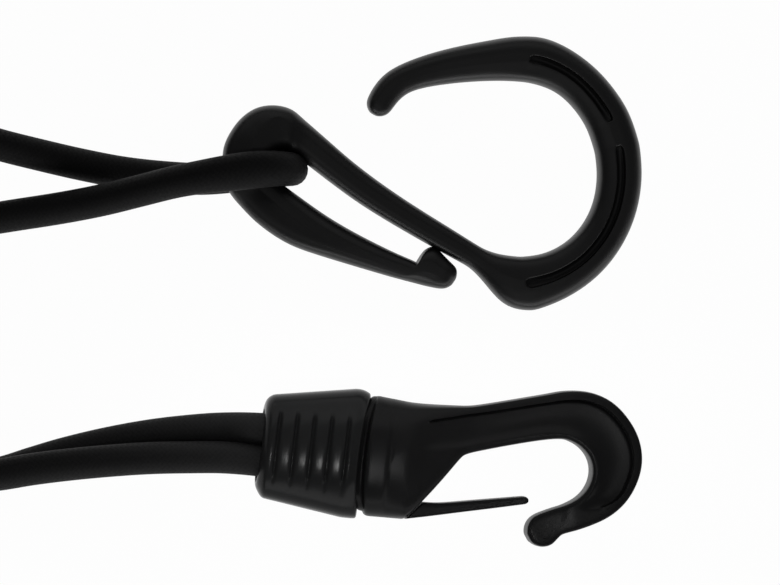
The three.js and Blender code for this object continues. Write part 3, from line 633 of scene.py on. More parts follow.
# %% Open hook
HOOK_BETWEEN = 3
CHANNEL_DEEP, CHANNEL_DISH = 1.6, 0.3
FACET_CREASE = 0.75
FACET_ROWS = 15
hook_rows = smooth_route([*eye_and_shank, c_row(C_FIRST, c_band)], HOOK_BETWEEN)[:-1]
c_start = len(hook_rows)
hook_rows += c_rows
hook_rings = [section(row) for row in hook_rows] + round_end(hook_rows[-1])
open_hook = add_bar("eye_hook_right_moulding", hook_rings, open_frame)
for channel in C_CHANNELS:
    rows = [c_start + c_angles().index(angle) for angle in channel]
    for columns in (FACE_COLUMNS, UNDER_COLUMNS):
        sink_strip(open_hook, rows, columns, CHANNEL_DEEP * MM)
    hollow_strip(open_hook, rows, {FACE_MIDDLE: CHANNEL_DISH, UNDER_MIDDLE: CHANNEL_DISH}, open_frame)
crease_strip(open_hook, (0, 0), ALL_COLUMNS)
for column in (FACE_COLUMNS[0], UNDER_COLUMNS[1]):
    crease_strip(open_hook, (0, FACET_ROWS), (column, column), FACET_CREASE)
smooth_piece(open_hook)

# %% [markdown]
# ## The sprung latch
# The latch grows out of the other side of the split, runs along the slot and ends in a barb that touches
# the shank. It is the same bar again, with a face that is lower towards the slot. Later it is bent
# between the hook and the latch's own body, as the real spring does.

# %% Latch
LATCH_DEPTH = 5.5
LATCH_FACET, LATCH_FACE = 0.3, (0.2, 0.42)
SPLIT_GAP = 0.05
LATCH_EYE = [  # angle, radius of the rim, slope of the facet
    (SPLIT_ANGLE + SPLIT_GAP, SPLIT_RIM, 0),
    (254, 9.03, -0.6 * LATCH_FACET),
]
LATCH_ROOT = [  # inner edge, outer edge, slope of the facet, the lines on the face
    ((1, -2.32), (0.4, -9.24), -LATCH_FACET, LATCH_FACE),
    ((4, -2.33), (3.6, -9.75), -LATCH_FACET, (0.22, 0.43)),
    ((8.2, -2.27), (7.4, -9.78), -0.8 * LATCH_FACET, (0.24, 0.46)),
    ((12.5, -2.12), (11, -9.29), -0.4 * LATCH_FACET, (0.26, 0.5)),
    ((17, -1.62), (14.8, -8.09), -0.1 * LATCH_FACET, (0.3, 0.55)),
]
LATCH_TONGUE = [  # inner edge, outer edge
    ((21.5, -0.87), (19.4, -6.43)), ((25.3, -0.1), (23.8, -4.79)), ((27.7, 0.5), (26.8, -3.65)),
    ((28.6, 0.72), (27.9, -3.2)), ((28.6, 1.2), (28.6, -2.92)), ((28.3, 2.4), (29.3, -2.64)),
    ((28.45, 3.45), (30, -2.35)), ((29, 4.2), (30.8, -2.02)), ((29.7, 4.45), (31.6, -1.7)),
    ((31.2, 4.2), (32.6, -1.24)), ((32.9, 3.95), (33.6, -0.76)),
]
BARB_END = [  # inner edge, outer edge, depth
    ((34.1, 3.75), (34.4, -0.25), 5.0),
    ((34.75, 3.1), (34.9, 0.35), 3.7),
    ((35.15, 2.3), (35.2, 1.1), 2),
]
LATCH_BETWEEN = 2
latch_stations = []
for angle, rim, slope in LATCH_EYE:
    latch_stations.append(station(*reversed(eye_edges(angle, rim)), EYE_DEPTH, slope, LATCH_FACE))
latch_stations += [station(inner, outer, LATCH_DEPTH, *others) for inner, outer, *others in LATCH_ROOT]
latch_stations += [station(inner, outer, LATCH_DEPTH) for inner, outer in LATCH_TONGUE]
latch_stations += [station(*edges) for edges in BARB_END]
latch_rings = [section(row) for row in smooth_route(latch_stations, LATCH_BETWEEN)]
open_latch = add_bar("eye_latch_right_moulding", latch_rings, open_frame)
crease_strip(open_latch, (0, 0), ALL_COLUMNS)
for column in (FACE_COLUMNS[1], UNDER_COLUMNS[0]):
    crease_strip(open_latch, (0, FACET_ROWS), (column, column), FACET_CREASE)
smooth_piece(open_latch)

# %% [markdown]
# ## The snap hook's body
# The body is one moulding too: a hollow spigot that the cap slides over, a thick socket, and an arm that
# bends round to a rounded nose. The bar starts at the bottom of the spigot's bore, comes out of its
# mouth, turns back over the outside and goes on as the socket, so the hollow is real. Close pairs of
# sections keep the corners crisp. The seam's collar leans a little, and its broad faces are drawn back in
# a bow.

# %% Spigot and seam of the snap hook
SEAM = 1.1
COLLAR, COLLAR_DEPTHS = -0.45, (10.1, 8.8)
SPIGOT_L, SPIGOT_ROOT, BORE_FLOOR = 8.0, 2.5, 2.3
BORE_WIDE, BORE_DEPTH, BORE_ROUND = 13.8, 8.2, 3.6
SPIGOT_WIDE, SPIGOT_DEPTH = 16.4, 10.8
BODY_DEPTH, BODY_ROUND = 13.35, 4.3
BODY_FACE = (0.22, 0.78)
CRISP = 0.25
RIM_LEAN, RIM_BOW = 0.035, 1.3
BORE = [  # x, width, depth
    (BORE_FLOOR, BORE_WIDE - 2 * CRISP, BORE_DEPTH - 2 * CRISP),
    (BORE_FLOOR, BORE_WIDE, BORE_DEPTH),
    (BORE_FLOOR - CRISP, BORE_WIDE, BORE_DEPTH),
    (-SPIGOT_L + CRISP, BORE_WIDE, BORE_DEPTH),
    (-SPIGOT_L, BORE_WIDE + CRISP, BORE_DEPTH + CRISP),
    (-SPIGOT_L, SPIGOT_WIDE - CRISP, SPIGOT_DEPTH - CRISP),
    (-SPIGOT_L + CRISP, SPIGOT_WIDE, SPIGOT_DEPTH),
    (-SPIGOT_ROOT, SPIGOT_WIDE, SPIGOT_DEPTH),
]
SOCKET = [  # x, upper edge, lower edge, depth, how far the seam's bow reaches here
    (COLLAR - CRISP, 8.3, -8.3, SPIGOT_DEPTH + CRISP, 1),
    (COLLAR, 9.7, -8.85, COLLAR_DEPTHS[0], 1),
    (SEAM / 2, 9.7, -8.9, COLLAR_DEPTHS[1], 1),
    (SEAM / 2, 9.74, -9.1, BODY_DEPTH - 1.2, 1),
    (SEAM / 2 + 0.15, 9.77, -9.45, BODY_DEPTH - 0.4, 1),
    (SEAM / 2 + 0.6, 9.78, -9.66, BODY_DEPTH, 0.95),
]


def rim_shape(ring, bow):
    """Lean a ring of the seam, and draw its broad faces back by the bow."""
    tallest = max(spot.z for spot in ring)
    for spot in ring:
        spot.x += RIM_LEAN * spot.y - bow * (spot.z / tallest) ** 2
    return ring


def straight_ring(x, upper, lower, deep, rounding):
    return section(station((x, upper), (x, lower), deep, 0, BODY_FACE, rounding))


bore_rings = [straight_ring(x, wide / 2, -wide / 2, deep, BORE_ROUND) for x, wide, deep in BORE]
for x, upper, lower, deep, reach in SOCKET:
    bore_rings.append(rim_shape(straight_ring(x, upper, lower, deep, BODY_ROUND), RIM_BOW * reach))
print("spigot and seam", len(bore_rings), "sections")

# %% [markdown]
# From the seam the socket narrows along a slanted front to the arm. The bend is drawn in turns about its
# middle, with a land of even width on both sides of the channel. Near the nose the channel becomes
# narrower.

# %% Socket, arm, bend and nose
ARM_DEPTH, ARM_ROUND = 8.0, 0.7
SOCKET_AND_ARM = [  # upper edge, lower edge, depth, the lines on the face, rounding
    ((1.7, 9.72), (1.7, -9.65), 13.55, BODY_FACE, BODY_ROUND),
    ((2.6, 9.63), (2.6, -9.65), 13.65, BODY_FACE, BODY_ROUND),
    ((3.2, 9.56), (3.2, -9.65), 13.2, (0.2, 0.62), BODY_ROUND),
    ((3.8, 9.5), (3.8, -9.65), 13.45, (0.175, 0.5), BODY_ROUND),
    ((4.6, 9.41), (4.7, -9.65), 13.6, (0.16, 0.47), 4.1),
    ((5.6, 9.3), (6.1, -9.64), 13.65, (0.15, 0.445), 3.8),
    ((6.8, 9.2), (6.75, -9.55), 13.3, (0.155, 0.417), 3.4),
    ((9, 9.19), (8.35, -7.75), 12.2, (0.157, 0.444), 2.6),
    ((11.5, 9.26), (11.2, -4.2), 10.9, (0.158, 0.527), 1.9),
    ((13.6, 9.35), (13.3, -1.3), 9.9, (0.162, 0.64), 1.4),
    ((15.3, 9.44), (14.8, 0.8), 9.1, (0.156, 0.754), 1.1),
    ((16.6, 9.62), (15.6, 1.54), 8.7, (0.16, 0.8), 0.9),
    ((19.4, 10.26), (18.6, 2.52), 8.2, (0.168, 0.81), ARM_ROUND),
    ((24, 11.43), (23.2, 3.79), ARM_DEPTH, (0.174, 0.815), ARM_ROUND),
    ((28.4, 12.56), (28, 4.97), ARM_DEPTH, (0.185, 0.81), ARM_ROUND),
]
BEND_MIDDLE = (30.9, 0.4)
BEND = [  # angle round the middle of the bend, outer radius, inner radius
    (90, 12.82, 5.0), (74, 13.54, 4.96), (58, 14.01, 4.99), (42, 14, 5.08), (26, 13.96, 5.2),
    (10, 13.59, 5.27), (-6, 12.81, 5.29), (-22, 12.02, 5.3), (-38, 11.16, 5.32), (-54, 10.42, 5.36),
    (-70, 10.2, 5.5),
]
OUTER_LAND, INNER_LAND = 1.45, 1.1
CHANNEL_NARROWS, NARROWING = -24, 0.009
NOSE = [  # outer edge, inner edge, depth
    ((32.4, -9.9), (31.6, -5.35), 7.4),
    ((31.8, -10.5), (30.3, -5.85), 7.2),
    ((30.8, -11.8), (27.72, -7.05), 7.0),
]
BODY_BETWEEN = 2
body_stations = [station(upper, lower, deep, 0, *others) for upper, lower, deep, *others in SOCKET_AND_ARM]
for angle, outer, inner in BEND:
    face = [OUTER_LAND / (outer - inner), 1 - INNER_LAND / (outer - inner)]
    if angle < CHANNEL_NARROWS:
        face[0] += NARROWING * (CHANNEL_NARROWS - angle)
    body_stations.append(around(BEND_MIDDLE, angle, outer, inner, ARM_DEPTH, 0, face, ARM_ROUND))
body_stations += [station(*edges, 0, PLAIN_FACE, ARM_ROUND) for edges in NOSE]
body_rows = smooth_route(body_stations, BODY_BETWEEN)
body_rings = bore_rings + [section(row) for row in body_rows] + round_end(body_rows[-1])
snap_body = add_bar("snap_body_right_moulding", body_rings, snap_frame)

# %% [markdown]
# The channel of the arm is one wide strip on each face, from the socket round the bend to just before the
# nose. Its floor is hollowed gently. Along its outer side runs a fine deep line, a narrow strip that is
# sunk in the same way as the channels of the open hook.

# %% Channel of the arm
ARM_DISH, ARM_DISH_SIDE, LINE_DEEP = 0.75, 0.5, 0.7
FIRST_STATION, LAST_STATION = 6, len(SOCKET_AND_ARM) + len(BEND) - 2
channel_rows = [len(bore_rings) + BODY_BETWEEN * number for number in (FIRST_STATION, LAST_STATION)]
line_rows = [channel_rows[0] + BODY_BETWEEN, channel_rows[1] - BODY_BETWEEN]
arm_depths = {FACE_MIDDLE: ARM_DISH, UNDER_MIDDLE: ARM_DISH}
for first, last in (FACE_COLUMNS, UNDER_COLUMNS):
    arm_depths[first + 1] = arm_depths[last - 1] = ARM_DISH_SIDE
hollow_strip(snap_body, channel_rows, arm_depths, snap_frame)
for columns in ((FACE_COLUMNS[0], FACE_COLUMNS[0] + 1), (UNDER_COLUMNS[1] - 1, UNDER_COLUMNS[1])):
    sink_strip(snap_body, line_rows, columns, LINE_DEEP * MM)
smooth_piece(snap_body)

# %% [markdown]
# ## The gate tongue
# A thin springy tongue closes the snap hook's mouth. It is a short bar, thicker at its root, where it is
# cut off along the slanted front of the socket, and rounded at its tip.

# %% Gate
GATE_DEPTH, GATE_ROUND = 6.0, 0.4
GATE_BETWEEN = 2
GATE = [  # upper edge, lower edge
    ((9.5, -6.6), (6.95, -9.56)),
    ((12.2, -6.5), (10.6, -8.84)),
    ((16, -5.87), (15.4, -7.82)),
    ((20, -5.21), (19.8, -6.91)),
    ((24, -4.55), (23.9, -6.03)),
    ((25.7, -4.27), (25.8, -5.62)),
]
gate_stations = [station(upper, lower, GATE_DEPTH, 0, PLAIN_FACE, GATE_ROUND) for upper, lower in GATE]
gate_rows = smooth_route(gate_stations, GATE_BETWEEN)
gate_rings = [section(row) for row in gate_rows] + round_end(gate_rows[-1])
snap_gate = add_bar("snap_gate_right_moulding", gate_rings, snap_frame)
crease_strip(snap_gate, (0, 0), ALL_COLUMNS)
smooth_piece(snap_gate)

# %% [markdown]
# ## The ribbed cap
# The cap hides the ferrule and gives the fingers a grip: five grooves are pressed into each broad face,
# between ribs with rounded crests. The bar starts at the bottom of the cap's bore, comes out at its rim
# and goes back along the outside. At each groove the sections of the broad faces dip, and the corners of
# the cap stay as they are.

# %% Sections of the cap
CAP_MIDDLE, RIM_MIDDLE_Y, END_MIDDLE = 0.2, -0.05, 0.45
CAP_SQUARE, BORE_SQUARE = 2.4, 2.6
CAP_EDGES = (0.97, 0.86)
RIB_MARKS = (6.0, 4.9, 2.6, 0.3, -2.0, -4.1, -5.2)
RIB_DEEP = 0.75
NARROW_HALF = 8.2


def cap_ring(x, wide, deep, middle=CAP_MIDDLE, bow=0.0, dip=0.0, square=CAP_SQUARE):
    half = wide / 2
    marks = [mark * min(1.0, half / NARROW_HALF) for mark in RIB_MARKS]
    edges = [share * half for share in CAP_EDGES]
    top = []
    for y in (*edges, *marks, *(-edge for edge in reversed(edges))):
        high = deep / 2 * (1 - abs(y / half) ** square) ** (1 / square)
        pressed = dip * RIB_DEEP if marks[-1] < y < marks[0] else 0
        top.append(Vector((x, y + middle, high - pressed)))
    left, right = Vector((x, middle + half, 0)), Vector((x, middle - half, 0))
    return rim_shape([left, *top, right, *mirrored_under(top)], bow)


# %% Ribbed cap
CAP_BIG, CAP_BIG_DEPTH, CAP_BIG_X = 21.3, 15.0, -2.3
CAP_TAPER, CAP_DEPTH_TAPER = 0.315, 0.2
RIM_X, CAP_END, CAP_FLOOR = -SEAM / 2, -17.45, -SPIGOT_L - 0.3
CAP_BORE_WIDE, CAP_BORE_DEPTH = SPIGOT_WIDE + 0.6, SPIGOT_DEPTH + 0.6
POCKET_WIDE, POCKET_DEPTH, POCKET_DEEP = 11.6, 6.4, 2.2
CAP_BORE = [  # x, width, depth, the seam's bow
    (CAP_FLOOR, CAP_BORE_WIDE - 2 * CRISP, CAP_BORE_DEPTH - 2 * CRISP, 0),
    (CAP_FLOOR, CAP_BORE_WIDE, CAP_BORE_DEPTH, 0),
    (-SPIGOT_L, CAP_BORE_WIDE, CAP_BORE_DEPTH, 0),
    (RIM_X - CRISP, CAP_BORE_WIDE, CAP_BORE_DEPTH, RIM_BOW),
    (RIM_X, CAP_BORE_WIDE + CRISP, CAP_BORE_DEPTH + CRISP, RIM_BOW),
]
CAP_RIM = [  # x, width, depth, middle, the seam's bow
    (RIM_X, CAP_BIG - 1.2, CAP_BIG_DEPTH - 2.2, RIM_MIDDLE_Y, RIM_BOW),
    (RIM_X - 0.2, CAP_BIG - 0.7, CAP_BIG_DEPTH - 1.5, RIM_MIDDLE_Y, RIM_BOW),
    (RIM_X - 1.35, CAP_BIG - 0.2, CAP_BIG_DEPTH - 0.4, CAP_MIDDLE, 0.9 * RIM_BOW),
]
RIB_FIRST, RIB_PITCH, RIB_GROOVES, RIB_BOW = -14.8, 2.77, 5, 0.3
RIB_PROFILE = (  # share of the pitch, share of the groove's depth
    (-0.5, 0), (-0.24, 0.01), (-0.13, 0.15), (-0.05, 0.95), (0.05, 0.95), (0.13, 0.15), (0.24, 0.01),
)
CAP_BACK = [  # x, width, depth, middle
    (CAP_END + 0.55, 15.4, 10.8, END_MIDDLE),
    (CAP_END + 0.15, 14.0, 9.4, END_MIDDLE),
    (CAP_END, POCKET_WIDE + 2 * CRISP, POCKET_DEPTH + 2 * CRISP),
    (CAP_END + CRISP, POCKET_WIDE, POCKET_DEPTH),
    (CAP_END + POCKET_DEEP, POCKET_WIDE, POCKET_DEPTH),
    (CAP_END + POCKET_DEEP, POCKET_WIDE - 2 * CRISP, POCKET_DEPTH - 2 * CRISP),
]
cap_rings = [cap_ring(x, wide, deep, bow=bow, square=BORE_SQUARE) for x, wide, deep, bow in CAP_BORE]
cap_rings += [cap_ring(*row) for row in CAP_RIM]
for groove in reversed(range(RIB_GROOVES)):
    for offset, dip in reversed(RIB_PROFILE):
        x = RIB_FIRST + (groove + offset) * RIB_PITCH
        from_big = CAP_BIG_X - x
        wide, deep = CAP_BIG - CAP_TAPER * from_big, CAP_BIG_DEPTH - CAP_DEPTH_TAPER * from_big
        cap_rings.append(cap_ring(x, wide, deep, bow=RIB_BOW, dip=dip))
cap_rings += [cap_ring(*row) for row in CAP_BACK]
snap_cap = smooth_piece(add_bar("snap_cap_right_moulding", cap_rings, snap_frame))

# %% [markdown]
# ## Clips of the net
# Small moulded blocks hold the cords where they cross and where they end on the border. A cube gets its
# size, its upright corners and its rims are rounded, a shallow panel is sunk into its top, and the cords'
# tunnels are bored out. Each kind of clip is made once and copied.

# %% Rims, panel and tunnels of a clip
CLIP_CORNER, CORNER_SEGMENTS = 3.0 * MM, 5
CLIP_BEVEL, BEVEL_SEGMENTS = 0.8 * MM, 3
PANEL_RIM, PANEL_EDGE, PANEL_DEEP = 1.7 * MM, 0.3 * MM, 0.45 * MM
TUNNEL_R, TUNNEL_SIDES = 2.8, 32
HAIR, UPRIGHT, FACES_UP = 1e-6, 0.1 * MM, 0.99


def bevel_chosen(piece, chosen, offset, segments):
    bpy.ops.mesh.select_mode(type="EDGE")
    bpy.ops.mesh.select_all(action="DESELECT")
    mesh = bmesh.from_edit_mesh(piece.data)
    for edge in mesh.edges:
        edge.select = chosen(edge)
    bmesh.update_edit_mesh(piece.data)
    bpy.ops.mesh.bevel(offset=offset, segments=segments, affect="EDGES")


def sink_panel(piece, top):
    bpy.ops.mesh.select_mode(type="FACE")
    bpy.ops.mesh.select_all(action="DESELECT")
    mesh = bmesh.from_edit_mesh(piece.data)
    for face in mesh.faces:
        face.select_set(face.normal.z > FACES_UP and face.calc_center_median().z > top)
    bmesh.update_edit_mesh(piece.data)
    bpy.ops.mesh.inset(thickness=PANEL_RIM, depth=0)
    bpy.ops.mesh.inset(thickness=PANEL_EDGE, depth=-PANEL_DEEP)


def bore_tunnel(piece, spot, length, turn):
    bpy.ops.object.select_all(action="DESELECT")
    bpy.ops.mesh.primitive_cylinder_add(
        vertices=TUNNEL_SIDES,
        radius=TUNNEL_R * MM,
        depth=length * MM,
        location=Vector(spot) * MM,
        rotation=turn,
    )
    drill = bpy.context.object
    bpy.context.view_layer.objects.active = piece
    hole = piece.modifiers.new("tunnel", "BOOLEAN")
    hole.object = drill
    hole.solver = "EXACT"
    bpy.ops.object.modifier_apply(modifier=hole.name)
    bpy.data.objects.remove(drill)


# %% A clip from a cube
SMOOTH_BELOW = math.radians(35)


def clip_block(name, low, high, tunnels):
    low, high = Vector(low) * MM, Vector(high) * MM
    bpy.ops.object.select_all(action="DESELECT")
    bpy.ops.mesh.primitive_cube_add(size=1, location=(low + high) / 2, scale=high - low)
    bpy.ops.object.transform_apply()
    block = bpy.context.object
    block.name = block.data.name = name
    bpy.ops.object.mode_set(mode="EDIT")
    top, bottom = high.z - HAIR, low.z + HAIR

    def upright(edge):
        return abs((edge.verts[0].co - edge.verts[1].co).z) > UPRIGHT

    def on_rim(edge):
        heights = [vertex.co.z for vertex in edge.verts]
        return min(heights) > top or max(heights) < bottom

    bevel_chosen(block, upright, CLIP_CORNER, CORNER_SEGMENTS)
    bevel_chosen(block, on_rim, CLIP_BEVEL, BEVEL_SEGMENTS)
    sink_panel(block, top)
    bpy.ops.object.mode_set(mode="OBJECT")
    for tunnel in tunnels:
        bore_tunnel(block, *tunnel)
    bpy.ops.object.select_all(action="DESELECT")
    block.select_set(True)
    bpy.ops.object.shade_smooth_by_angle(angle=SMOOTH_BELOW)
    print(name, "faces", len(block.data.polygons))
    return block


# %% [markdown]
# A crossing has two tunnels, one over the other. The sleeve has one. All the others sit on the border:
# one tunnel runs through them along the border, and the ends of other cords sit in sockets at their side.

# %% Model the kinds of clip
ALONG_X, ALONG_Y = (0, math.pi / 2, 0), (math.pi / 2, 0, 0)
CROSS_HALF, CROSS_TOP = 8, 14.1
SPLICE_HALF = 9
CLIP_HALF, CLIP_REACH, DRILL_EXTRA = 4.4, 12, 2
SOCKET_AT, SOCKET_LONG = 4.0, 10.0
CLAMP_SOCKETS = {  # half length along the border, and the sockets' y and z
    "low_edge": (7.0, [(0, LOW_Z)]),
    "high_edge": (7.0, [(0, HIGH_Z)]),
    "eye_clamp": (11.9, [(-7.5, LOW_Z), (7.5, LOW_Z)]),
    "snap_clamp": (5.4, [(0, LOW_Z), (0, HIGH_Z)]),
}


def through(half, z, turn):
    return (0, 0, z), 2 * half + DRILL_EXTRA, turn


clip_kinds = {
    "cross": clip_block(
        "cross_clip_kind",
        (-CROSS_HALF, -CROSS_HALF, 0),
        (CROSS_HALF, CROSS_HALF, CROSS_TOP),
        [through(CROSS_HALF, LOW_Z, ALONG_X), through(CROSS_HALF, HIGH_Z, ALONG_Y)],
    ),
    "splice": clip_block(
        "splice_kind",
        (-SPLICE_HALF, -CLIP_HALF, 0),
        (SPLICE_HALF, CLIP_HALF, 2 * CLIP_HALF),
        [through(SPLICE_HALF, LOW_Z, ALONG_X)],
    ),
}
for kind, (half_long, sockets) in CLAMP_SOCKETS.items():
    height = max(z for y, z in sockets) + CLIP_HALF
    holes = [((SOCKET_AT + SOCKET_LONG / 2, y, z), SOCKET_LONG, ALONG_X) for y, z in sockets]
    holes.append(through(half_long, LOW_Z, ALONG_Y))
    corners = (-CLIP_HALF, -half_long, 0), (CLIP_REACH, half_long, height)
    clip_kinds[kind] = clip_block(f"{kind}_kind", *corners, holes)

# %% [markdown]
# Each crossing, each cord's end and each leg gets a copy of its kind, turned so that the sockets face the
# cords that they hold. The patterns are then deleted.


# %% Copy the clips to their places
def placed_copy(piece, name, place):
    copy = piece.copy()
    copy.data = piece.data.copy()
    copy.name = copy.data.name = name
    copy.data.transform(place)
    bpy.context.scene.collection.objects.link(copy)
    return copy


def put_clip(kind, name, x, y, turn=0.0):
    place = Matrix.Translation(Vector((x, y, 0)) * MM) @ Matrix.Rotation(math.radians(turn), 4, "Z")
    clips[name] = placed_copy(clip_kinds[kind], f"{name}_shell", place)


clips = {}
put_clip("splice", "border_splice", SPLICE_X, NET_HALF)
for row in ROWS:
    at = row * PITCH - NET_HALF
    for column in ROWS:
        put_clip("cross", f"cross_clip_{row}_{column}", column * PITCH - NET_HALF, at)
    put_clip("low_edge", f"edge_clip_left_{row}", -NET_HALF, at)
    put_clip("low_edge", f"edge_clip_right_{row}", NET_HALF, at, 180)
    put_clip("high_edge", f"edge_clip_front_{row}", at, -NET_HALF, 90)
    put_clip("high_edge", f"edge_clip_back_{row}", at, NET_HALF, -90)
for side, way, turn in (("right", 1, 0), ("left", -1, 180)):
    for kind, leg in (("eye", EYE_LEG), ("snap", SNAP_LEG)):
        put_clip(f"{kind}_clamp", f"leg_clamp_{kind}_{side}", way * leg.x, way * leg.y, turn)
for pattern in clip_kinds.values():
    bpy.data.objects.remove(pattern)
print("clips", len(clips))

# %% [markdown]
# ## The left-hand pair
# The hooks on the left are the same pieces turned half round the middle of the net. A turn keeps the
# faces pointing outwards, which a mirror wouldn't.

# %% Turn copies to the left
right_hooks = {
    "eye_hook": open_hook,
    "eye_latch": open_latch,
    "snap_body": snap_body,
    "snap_gate": snap_gate,
    "snap_cap": snap_cap,
    **leg_cords,
}
left_hooks = {}
for name, piece in right_hooks.items():
    left_hooks[name] = placed_copy(piece, piece.name.replace("right", "left"), HALF_TURN)
hooks = {"right": right_hooks, "left": left_hooks}
print("hook pieces", sum(len(pieces) for pieces in hooks.values()))

# %% [markdown]
# ## Finishes: a shared grain
# All the mouldings are black nylon with a satin skin: a very fine grain, and slow changes of tone where
# the plastic has flowed. One node group makes that skin from the piece's own coordinates, and each finish
# gives it its values.


# %% Node helpers
def link_nodes(tree, *pairs):
    for source, target in pairs:
        tree.links.new(source, target)


def set_inputs(node, values):
    for socket, value in values.items():
        node.inputs[socket].default_value = value


def add_node(tree, kind, values=None):
    node = tree.nodes.new(f"ShaderNode{kind}")
    set_inputs(node, values or {})
    return node


def math_node(tree, operation, *values):
    node = tree.nodes.new("ShaderNodeMath")
    node.operation = operation
    for slot, value in enumerate(values):
        if isinstance(value, (int, float)):
            node.inputs[slot].default_value = value
        else:
            tree.links.new(value, node.inputs[slot])
    return node.outputs[0]


def new_group(name, inputs, outputs):
    tree = bpy.data.node_groups.new(name, "ShaderNodeTree")
    for socket, kind, value in inputs:
        made = tree.interface.new_socket(socket, in_out="INPUT", socket_type=kind)
        made.default_value = value
    for socket, kind in outputs:
        tree.interface.new_socket(socket, in_out="OUTPUT", socket_type=kind)
    return tree, tree.nodes.new("NodeGroupInput"), tree.nodes.new("NodeGroupOutput")


def new_material(name):
    material = bpy.data.materials.new(name)
    material.use_nodes = True
    return material, material.node_tree, material.node_tree.nodes["Principled BSDF"]


def scaled_colour(tree, colour, factor):
    node = tree.nodes.new("ShaderNodeVectorMath")
    node.operation = "SCALE"
    link_nodes(tree, (colour, node.inputs[0]), (factor, node.inputs["Scale"]))
    return node.outputs[0]


# %% Satin skin group
FLOAT, COLOUR = "NodeSocketFloat", "NodeSocketColor"
SKIN_OUTPUTS = [("Colour", COLOUR), ("Roughness", FLOAT), ("Height", FLOAT)]
TONE_VARIES, TONE_LEAST, GLOSS_VARIES = 0.5, 0.75, 0.16
satin_skin, skin_in, skin_out = new_group(
    "satin_skin",
    [
        ("Plastic", COLOUR, (0.012, 0.012, 0.013, 1)),
        ("Gloss", FLOAT, 0.4),
        ("Grain", FLOAT, 3000.0),
        ("Flow", FLOAT, 90.0),
    ],
    SKIN_OUTPUTS,
)
where = add_node(satin_skin, "TexCoord")
grain = add_node(satin_skin, "TexNoise", {"Detail": 3.0})
flow = add_node(satin_skin, "TexNoise", {"Detail": 4.0, "Distortion": 0.6})
tone = math_node(satin_skin, "MULTIPLY_ADD", flow.outputs["Fac"], TONE_VARIES, TONE_LEAST)
gloss = math_node(satin_skin, "MULTIPLY_ADD", flow.outputs["Fac"], GLOSS_VARIES, skin_in.outputs["Gloss"])
link_nodes(
    satin_skin,
    (where.outputs["Object"], grain.inputs["Vector"]),
    (where.outputs["Object"], flow.inputs["Vector"]),
    (skin_in.outputs["Grain"], grain.inputs["Scale"]),
    (skin_in.outputs["Flow"], flow.inputs["Scale"]),
    (scaled_colour(satin_skin, skin_in.outputs["Plastic"], tone), skin_out.inputs["Colour"]),
    (gloss, skin_out.inputs["Roughness"]),
    (grain.outputs["Fac"], skin_out.inputs["Height"]),
)
print(satin_skin.name, "nodes", len(satin_skin.nodes))

# %% [markdown]
# The hooks, the caps and the clips are the same nylon with different moulds. The open hook is the
# glossiest to look at, the snap hook and its cap are duller, and the clips have the coarsest grain.

# %% Plastic finishes
GRAIN_DEEP = 0.02 * MM
NYLON_IOR = 1.5


def bump_into(tree, shader, height, strength, distance):
    bump = add_node(tree, "Bump", {"Strength": strength, "Distance": distance})
    link_nodes(tree, (height, bump.inputs["Height"]), (bump.outputs["Normal"], shader.inputs["Normal"]))


def grouped_finish(tree, shader, group, values):
    """Place a group in a material, and let it give the shader its colour and roughness."""
    node = tree.nodes.new("ShaderNodeGroup")
    node.node_tree = group
    set_inputs(node, values)
    link_nodes(
        tree,
        (node.outputs["Colour"], shader.inputs["Base Color"]),
        (node.outputs["Roughness"], shader.inputs["Roughness"]),
    )
    return node.outputs["Height"]


def satin_plastic(name, colour, gloss, grain_size, strength, shine):
    material, tree, shader = new_material(name)
    values = {"Plastic": (*colour, 1), "Gloss": gloss, "Grain": 1 / grain_size}
    bump_into(tree, shader, grouped_finish(tree, shader, satin_skin, values), strength, GRAIN_DEEP)
    set_inputs(shader, {"IOR": NYLON_IOR, "Specular IOR Level": shine})
    print(name, "gloss", gloss, "shine", shine)
    return material


hook_black = satin_plastic("open_hook_black", (0.0038, 0.0038, 0.004), 0.36, 0.30 * MM, 0.5, 0.48)
snap_black = satin_plastic("snap_hook_black", (0.008, 0.008, 0.0082), 0.26, 0.30 * MM, 0.5, 0.05)
cap_black = satin_plastic("ribbed_cap_black", (0.012, 0.0122, 0.0124), 0.13, 0.26 * MM, 0.3, 0.06)
clip_black = satin_plastic("net_clip_black", (0.011, 0.011, 0.0114), 0.4, 0.35 * MM, 0.7, 0.3)

# %% [markdown]
# ## Finishes: braided cord
# The elastic core is covered by a fine braid. Two sets of yarns run round the cord in opposite ways and
# take turns on top. The UV map of the tube gives both sets: the sum and the difference of the two
# coordinates. Each yarn is also painted darker towards its edges and lighter on its crown: painted shade
# between the yarns.

# %% Braid group
YARNS = 18.0
# The crown factor is how much lighter the yarns' crowns are painted than the gaps between them: painted
# shade.
CROWN_PAINTED_LIGHT, FUZZ_LIGHT, LEAST_LIGHT = 0.5, 0.7, 0.35
FUZZ_ROUGH, LEAST_ROUGH, FUZZ_HIGH = 0.2, 0.6, 0.25
braid_group, braid_in, braid_out = new_group(
    "braid",
    [("Yarn", COLOUR, (0.008, 0.008, 0.009, 1)), ("Count", FLOAT, YARNS)],
    SKIN_OUTPUTS,
)


def braid_math(operation, *values):
    return math_node(braid_group, operation, *values)


def yarn_crown(phase):
    return braid_math("ABSOLUTE", braid_math("SINE", braid_math("MULTIPLY", phase, math.pi)))


